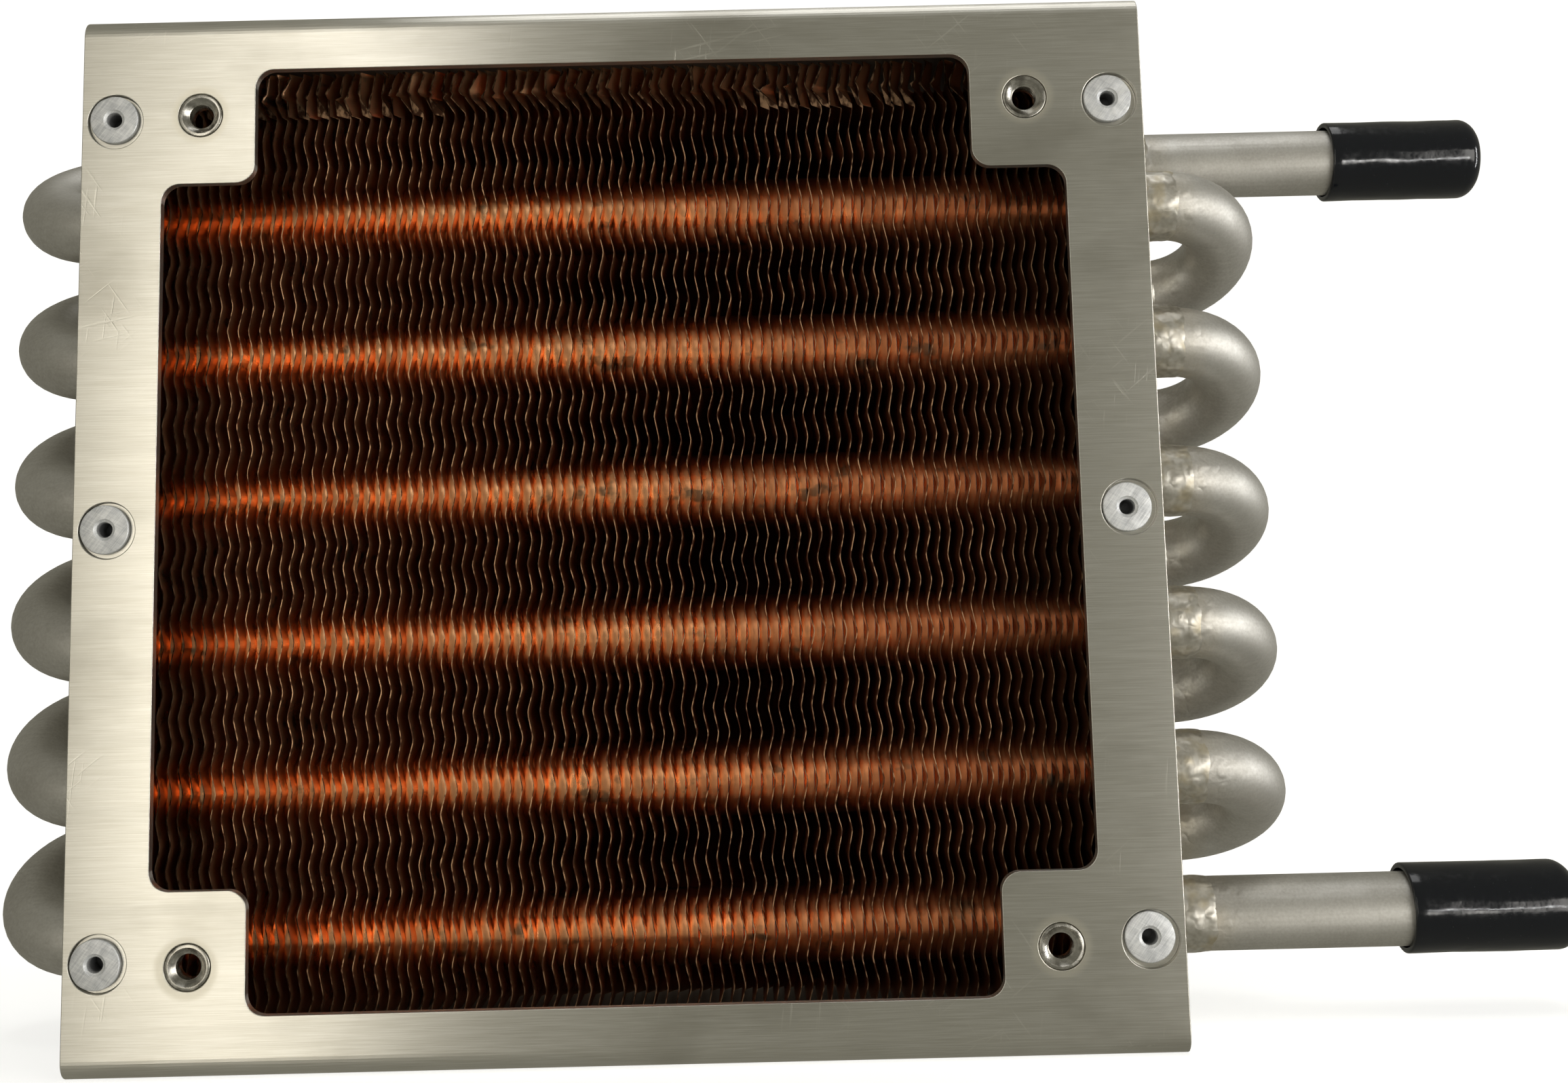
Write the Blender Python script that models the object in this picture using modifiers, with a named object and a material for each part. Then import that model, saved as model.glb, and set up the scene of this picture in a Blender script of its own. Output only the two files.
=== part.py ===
"""Tube-and-fin liquid cooler with a fan plate: a copper fin pack on stainless hairpin tubes, held in a
riveted aluminium frame, with two capped tube ends.

Blender 4.5 script in metres. X runs along the tubes, Y along the air flow with the fan side facing -Y, and Z
is up. The origin is the centre of the frame's underside. Every size is a named value below, and every place is
worked out from them.
"""

import math

import bmesh
import bpy
from mathutils import Matrix, Vector

MM = 0.001

# Gap kept between pieces that touch on the real object, so that no two solids share material
GAP = 0.3 * MM

# Sheet-metal frame, which is as large as the core inside it needs
SHEET = 1.5 * MM
CORE_SIDE_CLEARANCE = 1.5 * MM  # from the outermost fins to an end plate
CORE_TOP_CLEARANCE = 2.1 * MM  # from the fins to the folded edges of the fan plate
CORE_REAR_CLEARANCE = 0.35 * MM  # from the fins to the rear flanges of the end plates
BEND_RADIUS = 2.4 * MM  # outside of the bend
BEND_STEPS = 4
END_FLANGE = 8.0 * MM  # width of the folded edges of an end plate

# Window in the fan plate: a rectangle with a square pad left in each corner
SIDE_BORDER = 10.2 * MM
TOP_BORDER = 7.2 * MM
PAD_WIDTH = 11.8 * MM
PAD_HEIGHT = 14.7 * MM
WINDOW_RADIUS = 2.4 * MM
WINDOW_STEPS = 3

# Tubes: two staggered rows, joined at the left by hairpin bends and at the right by return bends
TUBE_RADIUS = 9.525 / 2 * MM
TUBE_WALL = 0.9 * MM
HAIRPINS = 6
TUBE_PITCH = 19.05 * MM  # between neighbours in one row
ROW_PITCH = 16.5 * MM  # from the front row to the rear row
FRONT_ROW_DEPTH = 22.4 * MM  # from the face of the fan plate to the axes of the front row
HAIRPIN_REACH = 4.0 * MM  # straight run outside the frame before the hairpin bend starts
JOINT_REACH = 5.9 * MM  # how far the tube ends stand out of the frame at the welded side
RETURN_STRAIGHT = 0.9 * MM  # straight run of a return bend before it curves
TUBE_SIDES = 3  # bevel resolution, which gives ten sides
ARC_STEPS = 8

# Weld beads round the joints
WELD_LENGTH = 2.4 * MM
WELD_HEIGHT = 0.5 * MM

# Tube ends and their push-on caps
UPPER_END_LENGTH = 49.0 * MM
LOWER_END_LENGTH = 47.8 * MM
CAP_LENGTH = 22.0 * MM
CAP_WALL = 0.65 * MM
CAP_END_WALL = 1.4 * MM
CAP_ROUNDING = 2.0 * MM
CAP_ROUNDING_STEPS = 3
CAP_SIDES = 20

# Copper fins, drawn as bundles of neighbouring fins
FIN_PITCH = 25.4 / 18 * MM
FINS_PER_BUNDLE = 13
BUNDLES = 7
FIN_SIDE_MARGIN = 8.25 * MM  # from a row of tubes to the nearest edge of the fins

# Flush rivets that hold the end plates to the fan plate
RIVET_INSET = 4.2 * MM  # from the frame's side edge
RIVET_END_INSET = 13.6 * MM  # from the frame's top or bottom edge
RIVET_HEAD_RADIUS = 3.0 * MM
RIVET_SHANK_RADIUS = 1.6 * MM
RIVET_TAIL_RADIUS = 2.0 * MM
RIVET_TAIL_LENGTH = 2.2 * MM
RIVET_BORE_RADIUS = 0.95 * MM
RIVET_RECESS = 0.05 * MM
HEAD_DEPTH = 0.8 * MM
RIVET_SIDES = 14

# Self-clinching nuts for the fan's screws
NUT_SIDE_INSET = 15.0 * MM  # from the frame's side edge, which leaves 105 mm between the screws
NUT_END_INSET = 13.0 * MM  # from the frame's top or bottom edge
NUT_SHANK_RADIUS = 2.69 * MM
NUT_BODY_RADIUS = 3.95 * MM
NUT_BODY_LENGTH = 2.0 * MM
NUT_BORE_RADIUS = 1.75 * MM
NUT_CHAMFER = 0.5 * MM
NUT_SIDES = 16

HOLE_SIDES = 12
FIN_HOLE_SIDES = 8
MERGE = 0.00001  # for points that should be one

# Places that follow from the sizes
RISE = TUBE_PITCH / 2  # between one tube and the next of the other row
CORE_WIDTH = BUNDLES * FINS_PER_BUNDLE * FIN_PITCH
CORE_HEIGHT = (2 * HAIRPINS + 1) * RISE
CORE_DEPTH = ROW_PITCH + 2 * FIN_SIDE_MARGIN
FRAME_WIDTH = CORE_WIDTH + 2 * (CORE_SIDE_CLEARANCE + SHEET + GAP)
FRAME_HEIGHT = CORE_HEIGHT + 2 * (CORE_TOP_CLEARANCE + SHEET)
FRAME_DEPTH = FRONT_ROW_DEPTH + ROW_PITCH + FIN_SIDE_MARGIN + CORE_REAR_CLEARANCE + SHEET
FACE_Y = -FRAME_DEPTH / 2
REAR_Y = FRAME_DEPTH / 2
SHEET_BACK_Y = FACE_Y + SHEET
MID_Z = FRAME_HEIGHT / 2
SIDE_X = FRAME_WIDTH / 2
END_PLATE_X = SIDE_X - GAP  # outer face of an end plate
FRONT_ROW_Y = FACE_Y + FRONT_ROW_DEPTH
REAR_ROW_Y = FRONT_ROW_Y + ROW_PITCH
JOINT_X = SIDE_X + JOINT_REACH
RIVET_X = SIDE_X - RIVET_INSET


def clear_scene():
    """Empty the file of whatever it held."""
    for obj in list(bpy.data.objects):
        bpy.data.objects.remove(obj)


def collection(name, cutters=False):
    """Make a collection, hidden from renders if it holds cutters."""
    made = bpy.data.collections.new(name)
    bpy.context.scene.collection.children.link(made)
    made.hide_render = cutters
    return made


def finish(name, colour, roughness, metallic):
    """Make a material with one Principled BSDF."""
    made = bpy.data.materials.new(name)
    made.use_nodes = True
    shader = made.node_tree.nodes["Principled BSDF"]
    shader.inputs["Base Color"].default_value = (*colour, 1.0)
    shader.inputs["Roughness"].default_value = roughness
    shader.inputs["Metallic"].default_value = metallic
    return made


def circumscribed(radius, sides):
    """Corner radius of a regular polygon whose flats lie at the given radius."""
    return radius / math.cos(math.pi / sides)


def place(name, mesh, group, material=None, location=(0, 0, 0), rotation=(0, 0, 0)):
    """Put a mesh in the scene as a named object."""
    obj = bpy.data.objects.new(name, mesh)
    obj.location = location
    obj.rotation_euler = rotation
    group.objects.link(obj)
    if material is not None:
        mesh.materials.clear()
        mesh.materials.append(material)
    return obj


def as_mesh(obj):
    """Mesh of an object as its modifiers leave it, in world space, with the object itself removed."""
    bpy.context.view_layer.update()
    graph = bpy.context.evaluated_depsgraph_get()
    mesh = bpy.data.meshes.new_from_object(obj.evaluated_get(graph))
    mesh.transform(obj.matrix_world)
    bpy.data.objects.remove(obj)
    work = bmesh.new()
    work.from_mesh(mesh)
    bmesh.ops.remove_doubles(work, verts=work.verts, dist=MERGE)
    work.to_mesh(mesh)
    work.free()
    return mesh


def smooth(mesh):
    """Shade round walls smooth and keep real edges sharp."""
    mesh.shade_smooth()
    mesh.set_sharp_from_angle(angle=math.radians(35))
    return mesh


def poly_curve(outlines, closed, flat):
    """Curve object with a spline for each list of points, straight between them."""
    data = bpy.data.curves.new("outline", "CURVE")
    data.dimensions = "2D" if flat else "3D"
    for points in outlines:
        spline = data.splines.new("POLY")
        spline.points.add(len(points) - 1)
        for point, where in zip(spline.points, points):
            point.co = (*where, 1.0)
        spline.use_cyclic_u = closed
    obj = bpy.data.objects.new("outline", data)
    bpy.context.scene.collection.objects.link(obj)
    return obj


def arc(centre, radius, start, turn, steps):
    """Points along an arc in a plane, both ends included."""
    angles = [start + turn * i / steps for i in range(steps + 1)]
    return [(centre[0] + radius * math.cos(a), centre[1] + radius * math.sin(a)) for a in angles]


def turned_mesh(profile, sides, ring):
    """Mesh of a (radius, height) profile turned about Z.

    The profile runs down the outside. A ring's profile comes back up the inside and is closed; any other one
    starts and ends on the axis.
    """
    data = bpy.data.meshes.new("turned")
    work = bmesh.new()
    points = [work.verts.new((radius, 0, height)) for radius, height in profile]
    for first, second in zip(points, points[1:]):
        work.edges.new((first, second))
    if ring:
        work.edges.new((points[-1], points[0]))
    work.to_mesh(data)
    work.free()
    obj = bpy.data.objects.new("turned", data)
    bpy.context.scene.collection.objects.link(obj)
    screw = obj.modifiers.new("turn", "SCREW")
    screw.steps = sides
    screw.render_steps = sides
    screw.use_merge_vertices = True
    screw.merge_threshold = MERGE
    return smooth(as_mesh(obj))


def channel_mesh(depth, flange, length):
    """Folded sheet in the XY plane, closed at x = 0, with both flanges towards +X, standing along Z."""
    bend_y = depth / 2 - BEND_RADIUS
    path = [(flange, -depth / 2)]
    path += arc((BEND_RADIUS, -bend_y), BEND_RADIUS, -math.pi / 2, -math.pi / 2, BEND_STEPS)
    path += arc((BEND_RADIUS, bend_y), BEND_RADIUS, math.pi, -math.pi / 2, BEND_STEPS)
    path += [(flange, depth / 2)]
    obj = poly_curve([[(x, y, 0) for x, y in path]], closed=False, flat=False)
    obj.data.extrude = length / 2
    obj.data.twist_mode = "Z_UP"
    mesh = as_mesh(obj)
    work = bmesh.new()
    work.from_mesh(mesh)
    for face in work.faces:
        outwards = face.calc_center_median() - Vector((flange, 0, 0))
        if face.normal.dot(outwards) < 0:
            face.normal_flip()
    work.to_mesh(mesh)
    work.free()
    shell = bpy.data.objects.new("shell", mesh)
    bpy.context.scene.collection.objects.link(shell)
    solidify = shell.modifiers.new("sheet", "SOLIDIFY")
    solidify.thickness = SHEET
    solidify.offset = -1
    solidify.use_even_offset = True
    return as_mesh(shell)


def rounded_outline(corners, radius, steps):
    """Outline through the corners, each one rounded off with an arc."""
    made = []
    for i, corner in enumerate(corners):
        here = Vector(corner)
        to_last = (Vector(corners[i - 1]) - here).normalized()
        to_next = (Vector(corners[(i + 1) % len(corners)]) - here).normalized()
        centre = here + (to_last + to_next) * radius
        start = math.atan2(*reversed(here + to_last * radius - centre))
        end = math.atan2(*reversed(here + to_next * radius - centre))
        turn = (end - start + math.pi) % (2 * math.pi) - math.pi
        made += arc(centre, radius, start, turn, steps)
    return made


def flat_plate(outlines, thickness):
    """Curve object of a plate in the XY plane: its outline first, then the outlines of its holes."""
    obj = poly_curve([[(x, y, 0) for x, y in points] for points in outlines], closed=True, flat=True)
    obj.data.fill_mode = "BOTH"
    obj.data.extrude = thickness / 2
    return obj


def window_cutter(group):
    """Cutter for the window in the fan plate."""
    half_width = SIDE_X - SIDE_BORDER
    half_height = MID_Z - TOP_BORDER
    pad_x = half_width - PAD_WIDTH
    pad_z = half_height - PAD_HEIGHT
    quarter = [(half_width, pad_z), (pad_x, pad_z), (pad_x, half_height)]
    corners = quarter + [(-x, z) for x, z in reversed(quarter)]
    corners += [(-x, -z) for x, z in quarter] + [(x, -z) for x, z in reversed(quarter)]
    outline = rounded_outline(corners, WINDOW_RADIUS, WINDOW_STEPS)
    obj = flat_plate([outline], 2 * SHEET)
    obj.rotation_euler = (math.radians(90), 0, 0)
    obj.location = (0, FACE_Y + SHEET / 2, MID_Z)
    return place("window_cutter", as_mesh(obj), group)


def cylinder_mesh(radius, length, sides):
    """Solid cylinder about Z, centred on the origin."""
    mesh = bpy.data.meshes.new("cylinder")
    work = bmesh.new()
    bmesh.ops.create_cone(
        work, cap_ends=True, segments=sides, radius1=radius, radius2=radius, depth=length
    )
    work.to_mesh(mesh)
    work.free()
    return mesh


def cut_with(obj, group):
    """Cut everything in a collection of cutters out of an object."""
    for cutter in group.objects:
        cutter.hide_render = True
        cutter.display_type = "WIRE"
    boolean = obj.modifiers.new("cut_" + group.name, "BOOLEAN")
    boolean.operand_type = "COLLECTION"
    boolean.collection = group
    boolean.operation = "DIFFERENCE"


def rivet_places():
    """(x, z) of each rivet: down the left side, then down the right side."""
    spacing = MID_Z - RIVET_END_INSET
    return [(side * RIVET_X, MID_Z + row * spacing) for side in (-1, 1) for row in (1, 0, -1)]


def nut_places():
    """(x, z) of each clinch nut: the top two, then the bottom two."""
    across = SIDE_X - NUT_SIDE_INSET
    up = MID_Z - NUT_END_INSET
    return [(x, MID_Z + z) for z in (up, -up) for x in (-across, across)]


def tube_places():
    """(y, z) of each tube, from the top: rear row first, then the front row, and so on down."""
    top = MID_Z + (2 * HAIRPINS - 1) / 2 * RISE
    rows = (REAR_ROW_Y, FRONT_ROW_Y)
    return [(rows[i % 2], top - i * RISE) for i in range(2 * HAIRPINS)]


def rivet_hole_cutters(name):
    """Cutters for the countersunk rivet holes, through the fan plate and the flange behind it."""
    group = collection(name, cutters=True)
    hole = circumscribed(RIVET_SHANK_RADIUS + GAP, RIVET_SIDES)
    mouth = circumscribed(RIVET_HEAD_RADIUS + GAP, RIVET_SIDES)
    depth = 2 * SHEET + 2 * GAP
    cone = HEAD_DEPTH + GAP / 2
    profile = [(0.0, SHEET), (mouth, SHEET), (mouth, 0.0), (hole, -cone), (hole, -depth), (0.0, -depth)]
    mesh = turned_mesh(profile, RIVET_SIDES, ring=False)
    for i, (x, z) in enumerate(rivet_places()):
        place(f"{name}_{i}", mesh, group, None, (x, FACE_Y, z), (math.radians(90), 0, 0))
    return group


def tube_hole_cutters(name):
    """Cutters along X for every tube, longer than the whole frame is wide."""
    group = collection(name, cutters=True)
    mesh = cylinder_mesh(circumscribed(TUBE_RADIUS + GAP, HOLE_SIDES), FRAME_WIDTH + 4 * SHEET, HOLE_SIDES)
    for i, (y, z) in enumerate(tube_places()):
        place(f"{name}_{i}", mesh, group, None, (0, y, z), (0, math.radians(90), 0))
    return group


def make_fan_plate(group, material, rivet_holes):
    """Front plate with its window, folded back over the top and bottom of the core."""
    openings = collection("fan_plate_openings", cutters=True)
    window_cutter(openings)
    nut_hole = cylinder_mesh(circumscribed(NUT_SHANK_RADIUS + GAP, NUT_SIDES), 3 * SHEET, NUT_SIDES)
    for i, (x, z) in enumerate(nut_places()):
        place(f"nut_hole_{i}", nut_hole, openings, None, (x, FACE_Y, z), (math.radians(90), 0, 0))
    mesh = channel_mesh(FRAME_HEIGHT, FRAME_DEPTH, FRAME_WIDTH)
    # The folded sheet lies on its side: its closed face turns to -Y and its length to X.
    mesh.transform(Matrix(((0, 0, 1, 0), (1, 0, 0, FACE_Y), (0, 1, 0, MID_Z), (0, 0, 0, 1))))
    plate = place("fan_plate", mesh, group, material)
    cut_with(plate, openings)
    cut_with(plate, rivet_holes)


def make_end_plate(name, side, group, material, tube_holes, rivet_holes):
    """Side plate that carries the tubes, with a riveted flange in front and a flange behind."""
    depth = REAR_Y - SHEET_BACK_Y - GAP
    height = FRAME_HEIGHT - 2 * (SHEET + GAP)
    mesh = channel_mesh(depth, END_FLANGE, height)
    mesh.transform(Matrix.Translation((-END_PLATE_X, REAR_Y - depth / 2, MID_Z)))
    if side > 0:
        mesh.transform(Matrix.Rotation(math.pi, 4, "Z"))
        mesh.transform(Matrix.Translation((0, 2 * REAR_Y - depth, 0)))
    plate = place(name, mesh, group, material)
    cut_with(plate, tube_holes)
    cut_with(plate, rivet_holes)


def swept_tube(name, path, group, material):
    """Hollow tube along a path, open at both ends."""
    obj = poly_curve([path], closed=False, flat=False)
    obj.data.bevel_depth = TUBE_RADIUS
    obj.data.bevel_resolution = TUBE_SIDES
    tube = place(name, smooth(as_mesh(obj)), group, material)
    wall = tube.modifiers.new("wall", "SOLIDIFY")
    wall.thickness = TUBE_WALL
    wall.offset = -1
    wall.use_even_offset = True


def bent_path(first, second, end_x, bend_x):
    """Path of a U: along X at one (y, z), round a half turn that starts at bend_x, and back at the other."""
    side = math.copysign(1, bend_x - end_x)
    middle = (Vector(first) + Vector(second)) / 2
    half = (Vector(first) - Vector(second)) / 2
    path = [(end_x, *first)]
    for i in range(ARC_STEPS + 1):
        angle = math.pi * i / ARC_STEPS
        across = middle + half * math.cos(angle)
        path.append((bend_x + side * half.length * math.sin(angle), *across))
    path.append((end_x, *second))
    return path


def make_tubes(group, material):
    """Six hairpins, five return bends and the two straight tube ends."""
    places = tube_places()
    for i in range(HAIRPINS):
        rear, front = places[2 * i], places[2 * i + 1]
        path = bent_path(rear, front, JOINT_X - GAP / 2, -SIDE_X - HAIRPIN_REACH)
        swept_tube(f"hairpin_tube_{i + 1}", path, group, material)
    for i in range(HAIRPINS - 1):
        front, rear = places[2 * i + 1], places[2 * i + 2]
        path = bent_path(front, rear, JOINT_X + GAP / 2, JOINT_X + RETURN_STRAIGHT)
        swept_tube(f"return_bend_{i + 1}", path, group, material)
    start = JOINT_X + GAP / 2
    ends = (("upper_tube_end", places[0], UPPER_END_LENGTH), ("lower_tube_end", places[-1], LOWER_END_LENGTH))
    for name, centre, length in ends:
        swept_tube(name, [(start, *centre), (start + length, *centre)], group, material)


def make_weld_beads(group, material):
    """Ring of weld metal round each joint at the right-hand side."""
    inner = circumscribed(TUBE_RADIUS + GAP, HOLE_SIDES)
    outer = inner + WELD_HEIGHT
    half = WELD_LENGTH / 2
    profile = [(outer, half / 2), (outer, -half / 2), (inner, -half), (inner, half)]
    mesh = turned_mesh(profile, HOLE_SIDES, ring=True)
    for i, (y, z) in enumerate(tube_places()):
        place(f"weld_bead_{i + 1:02d}", mesh, group, material, (JOINT_X, y, z), (0, math.radians(90), 0))


def make_caps(group, material):
    """Push-on cap over each tube end. Its origin is on the tube's axis, at its rim."""
    bore = circumscribed(TUBE_RADIUS + GAP, CAP_SIDES)
    outer = bore + CAP_WALL
    depth = CAP_LENGTH - CAP_END_WALL
    corner = (outer - CAP_ROUNDING, CAP_LENGTH - CAP_ROUNDING)
    rounding = arc(corner, CAP_ROUNDING, math.pi / 2, -math.pi / 2, CAP_ROUNDING_STEPS)
    profile = [(0.0, CAP_LENGTH)] + rounding + [(outer, 0.0), (bore, 0.0), (bore, depth), (0.0, depth)]
    mesh = turned_mesh(profile, CAP_SIDES, ring=False)
    rim = JOINT_X + GAP / 2 + GAP - depth
    places = tube_places()
    quarter_turn = (0, math.radians(90), 0)
    place("upper_cap", mesh, group, material, (rim + UPPER_END_LENGTH, *places[0]), quarter_turn)
    place("lower_cap", mesh, group, material, (rim + LOWER_END_LENGTH, *places[-1]), quarter_turn)


def fin_bundle_mesh(thickness):
    """Block of fins about the origin, standing across the tubes, with a hole for each tube."""
    y, z = CORE_DEPTH / 2, CORE_HEIGHT / 2
    middle_y = (FRONT_ROW_Y + REAR_ROW_Y) / 2
    radius = circumscribed(TUBE_RADIUS + GAP, FIN_HOLE_SIDES)
    outlines = [[(-y, -z), (y, -z), (y, z), (-y, z)]]
    for tube_y, tube_z in tube_places():
        hole = arc((tube_y - middle_y, tube_z - MID_Z), radius, 0, 2 * math.pi, FIN_HOLE_SIDES)
        outlines.append(hole[:-1])
    block = flat_plate(outlines, thickness)
    # The outline is drawn in (y, z), so its own axes turn to Y and Z and its thickness to X.
    block.matrix_world = Matrix(((0, 0, 1, 0), (1, 0, 0, 0), (0, 1, 0, 0), (0, 0, 0, 1)))
    return as_mesh(block)


def make_fins(group, material):
    """Fin pack in bundles side by side along the tubes."""
    width = FINS_PER_BUNDLE * FIN_PITCH
    mesh = fin_bundle_mesh(width - GAP)
    middle_y = (FRONT_ROW_Y + REAR_ROW_Y) / 2
    for i in range(BUNDLES):
        x = (i - (BUNDLES - 1) / 2) * width
        place(f"fin_bundle_{i + 1}", mesh, group, material, (x, middle_y, MID_Z))


def make_rivets(group, material):
    """Countersunk hollow rivets, their heads flush with the fan plate and their tails behind the flange."""
    tail_start = -(2 * SHEET + 2 * GAP)
    tail_end = tail_start - RIVET_TAIL_LENGTH
    profile = [
        (RIVET_HEAD_RADIUS, -RIVET_RECESS),
        (RIVET_SHANK_RADIUS, -HEAD_DEPTH),
        (RIVET_SHANK_RADIUS, tail_start),
        (RIVET_TAIL_RADIUS, tail_start - RIVET_TAIL_LENGTH / 4),
        (RIVET_TAIL_RADIUS, tail_end + RIVET_TAIL_LENGTH / 4),
        (RIVET_SHANK_RADIUS, tail_end),
        (RIVET_BORE_RADIUS, tail_end),
        (RIVET_BORE_RADIUS, -RIVET_RECESS),
    ]
    mesh = turned_mesh(profile, RIVET_SIDES, ring=True)
    names = [f"{side}_{row}_rivet" for side in ("left", "right") for row in ("top", "middle", "bottom")]
    for name, (x, z) in zip(names, rivet_places()):
        place(name, mesh, group, material, (x, FACE_Y, z), (math.radians(90), 0, 0))


def make_nuts(group, material):
    """Clinch nuts behind the fan plate, each with its shank in the plate's hole."""
    behind = -(SHEET + GAP)
    profile = [
        (NUT_SHANK_RADIUS, -RIVET_RECESS),
        (NUT_SHANK_RADIUS, behind),
        (NUT_BODY_RADIUS, behind),
        (NUT_BODY_RADIUS, behind - NUT_BODY_LENGTH),
        (NUT_BORE_RADIUS, behind - NUT_BODY_LENGTH),
        (NUT_BORE_RADIUS, -RIVET_RECESS - NUT_CHAMFER),
        (NUT_BORE_RADIUS + NUT_CHAMFER, -RIVET_RECESS),
    ]
    mesh = turned_mesh(profile, NUT_SIDES, ring=True)
    corners = ("top_left", "top_right", "bottom_left", "bottom_right")
    for corner, (x, z) in zip(corners, nut_places()):
        place(f"{corner}_clinch_nut", mesh, group, material, (x, FACE_Y, z), (math.radians(90), 0, 0))


def main():
    """Build the whole cooler."""
    clear_scene()
    parts = collection("tube_and_fin_cooler")
    aluminium = finish("brushed_aluminium", (0.66, 0.65, 0.61), 0.38, 1.0)
    stainless = finish("pickled_stainless", (0.56, 0.54, 0.50), 0.48, 1.0)
    copper = finish("copper", (0.72, 0.30, 0.14), 0.35, 1.0)
    weld_metal = finish("weld_metal", (0.52, 0.50, 0.46), 0.42, 1.0)
    rivet_metal = finish("rivet_aluminium", (0.75, 0.75, 0.74), 0.45, 1.0)
    plated_steel = finish("plated_steel", (0.62, 0.61, 0.58), 0.25, 1.0)
    vinyl = finish("black_vinyl", (0.012, 0.013, 0.016), 0.18, 0.0)

    rivet_holes = rivet_hole_cutters("rivet_holes")
    tube_holes = tube_hole_cutters("tube_holes")

    make_fan_plate(parts, aluminium, rivet_holes)
    make_end_plate("left_end_plate", -1, parts, aluminium, tube_holes, rivet_holes)
    make_end_plate("right_end_plate", 1, parts, aluminium, tube_holes, rivet_holes)
    make_tubes(parts, stainless)
    make_weld_beads(parts, weld_metal)
    make_caps(parts, vinyl)
    make_fins(parts, copper)
    make_rivets(parts, rivet_metal)
    make_nuts(parts, plated_steel)


main()
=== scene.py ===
"""Looks of a tube-and-fin liquid cooler with a riveted fan plate.

A copper fin pack sits on stainless hairpin tubes inside a folded aluminium frame. The fan plate in front
carries four clinch nuts and six flush rivets, and two glossy caps close the tube ends. Lengths are in metres,
X runs along the tubes, the fan side faces -Y and Z is up.
"""

from __future__ import annotations

import logging
import math
from collections.abc import Callable, Iterator, Sequence
from contextlib import contextmanager
from dataclasses import dataclass
from enum import Enum
from itertools import pairwise

import bmesh
import bpy
from bpy.types import Material, Node, NodeSocket, NodeTree, Object
from mathutils import Euler, Matrix, Vector

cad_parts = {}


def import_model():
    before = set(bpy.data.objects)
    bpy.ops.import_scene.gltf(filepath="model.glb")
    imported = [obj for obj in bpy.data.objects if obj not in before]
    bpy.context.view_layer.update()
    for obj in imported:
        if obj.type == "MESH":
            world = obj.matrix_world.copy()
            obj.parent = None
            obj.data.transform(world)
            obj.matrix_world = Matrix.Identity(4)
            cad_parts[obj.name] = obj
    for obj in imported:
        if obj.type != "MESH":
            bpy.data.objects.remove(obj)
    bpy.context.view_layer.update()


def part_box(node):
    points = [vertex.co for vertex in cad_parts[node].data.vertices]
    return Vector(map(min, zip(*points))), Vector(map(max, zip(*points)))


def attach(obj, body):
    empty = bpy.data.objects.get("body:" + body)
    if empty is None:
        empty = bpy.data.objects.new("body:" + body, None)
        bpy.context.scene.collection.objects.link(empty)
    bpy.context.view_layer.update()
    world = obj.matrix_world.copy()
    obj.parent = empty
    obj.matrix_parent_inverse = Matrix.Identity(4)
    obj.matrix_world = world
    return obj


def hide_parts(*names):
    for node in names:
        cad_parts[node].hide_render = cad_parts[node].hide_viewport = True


log = logging.getLogger("cooler")

MM = 0.001
CORE_BODY = "frame_and_core"
TOUCHING = 0.001 * MM  # points closer than this are one point
FACING_FRONT = (math.radians(90), 0.0, 0.0)  # turns +Z to -Y
FACING_RIGHT = (0.0, math.radians(90), 0.0)  # turns +Z to +X


class Side(Enum):
    """Side of the cooler, as a direction along X."""

    LEFT = -1
    RIGHT = 1


class Part(Enum):
    """Kind of mesh element to select."""

    POINTS = "VERT"
    EDGES = "EDGE"


# ---------------------------------------------------------------- modelling bench


def deselect_all() -> None:
    """Return to object mode with nothing selected."""
    if bpy.context.mode != "OBJECT":
        bpy.ops.object.mode_set(mode="OBJECT")
    bpy.ops.object.select_all(action="DESELECT")


def activate(piece: Object) -> None:
    """Make a piece the only selected object and the active one.

    Args:
        piece: Object to work on.
    """
    deselect_all()
    piece.select_set(True)
    bpy.context.view_layer.objects.active = piece


@contextmanager
def editing(piece: Object) -> Iterator[None]:
    """Work on a piece in edit mode, with nothing of it selected at the start.

    Args:
        piece: Object to work on.

    Yields:
        Nothing, while the piece is in edit mode.
    """
    activate(piece)
    bpy.ops.object.mode_set(mode="EDIT")
    bpy.ops.mesh.select_all(action="DESELECT")
    yield
    bpy.ops.object.mode_set(mode="OBJECT")


def pick(piece: Object, part: Part, test: Callable[[Vector], bool]) -> None:
    """Select the elements whose every corner passes a test.

    Args:
        piece: Object in edit mode.
        part: Kind of element.
        test: Says of a corner's place whether it belongs.
    """
    bpy.ops.mesh.select_mode(type=part.value)
    bpy.ops.mesh.select_all(action="DESELECT")
    mesh = bmesh.from_edit_mesh(piece.data)
    if part is Part.POINTS:
        chosen = [v for v in mesh.verts if test(v.co)]
    else:
        chosen = [e for e in mesh.edges if all(test(v.co) for v in e.verts)]
    for element in chosen:
        element.select_set(True)
    mesh.select_flush_mode()
    bmesh.update_edit_mesh(piece.data)


def settle(
    piece: Object,
    location: Sequence[float] = (0.0, 0.0, 0.0),
    rotation: Sequence[float] = (0.0, 0.0, 0.0),
) -> Object:
    """Turn and move a piece to its place, and put that place into its mesh.

    Args:
        piece: Object to place.
        location: Where its origin goes.
        rotation: Its turns about X, Y and Z.

    Returns:
        The same object.
    """
    activate(piece)
    piece.matrix_world = Matrix.Translation(location) @ Euler(rotation).to_matrix().to_4x4()
    bpy.ops.object.transform_apply(location=True, rotation=True, scale=True)
    return piece


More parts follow.
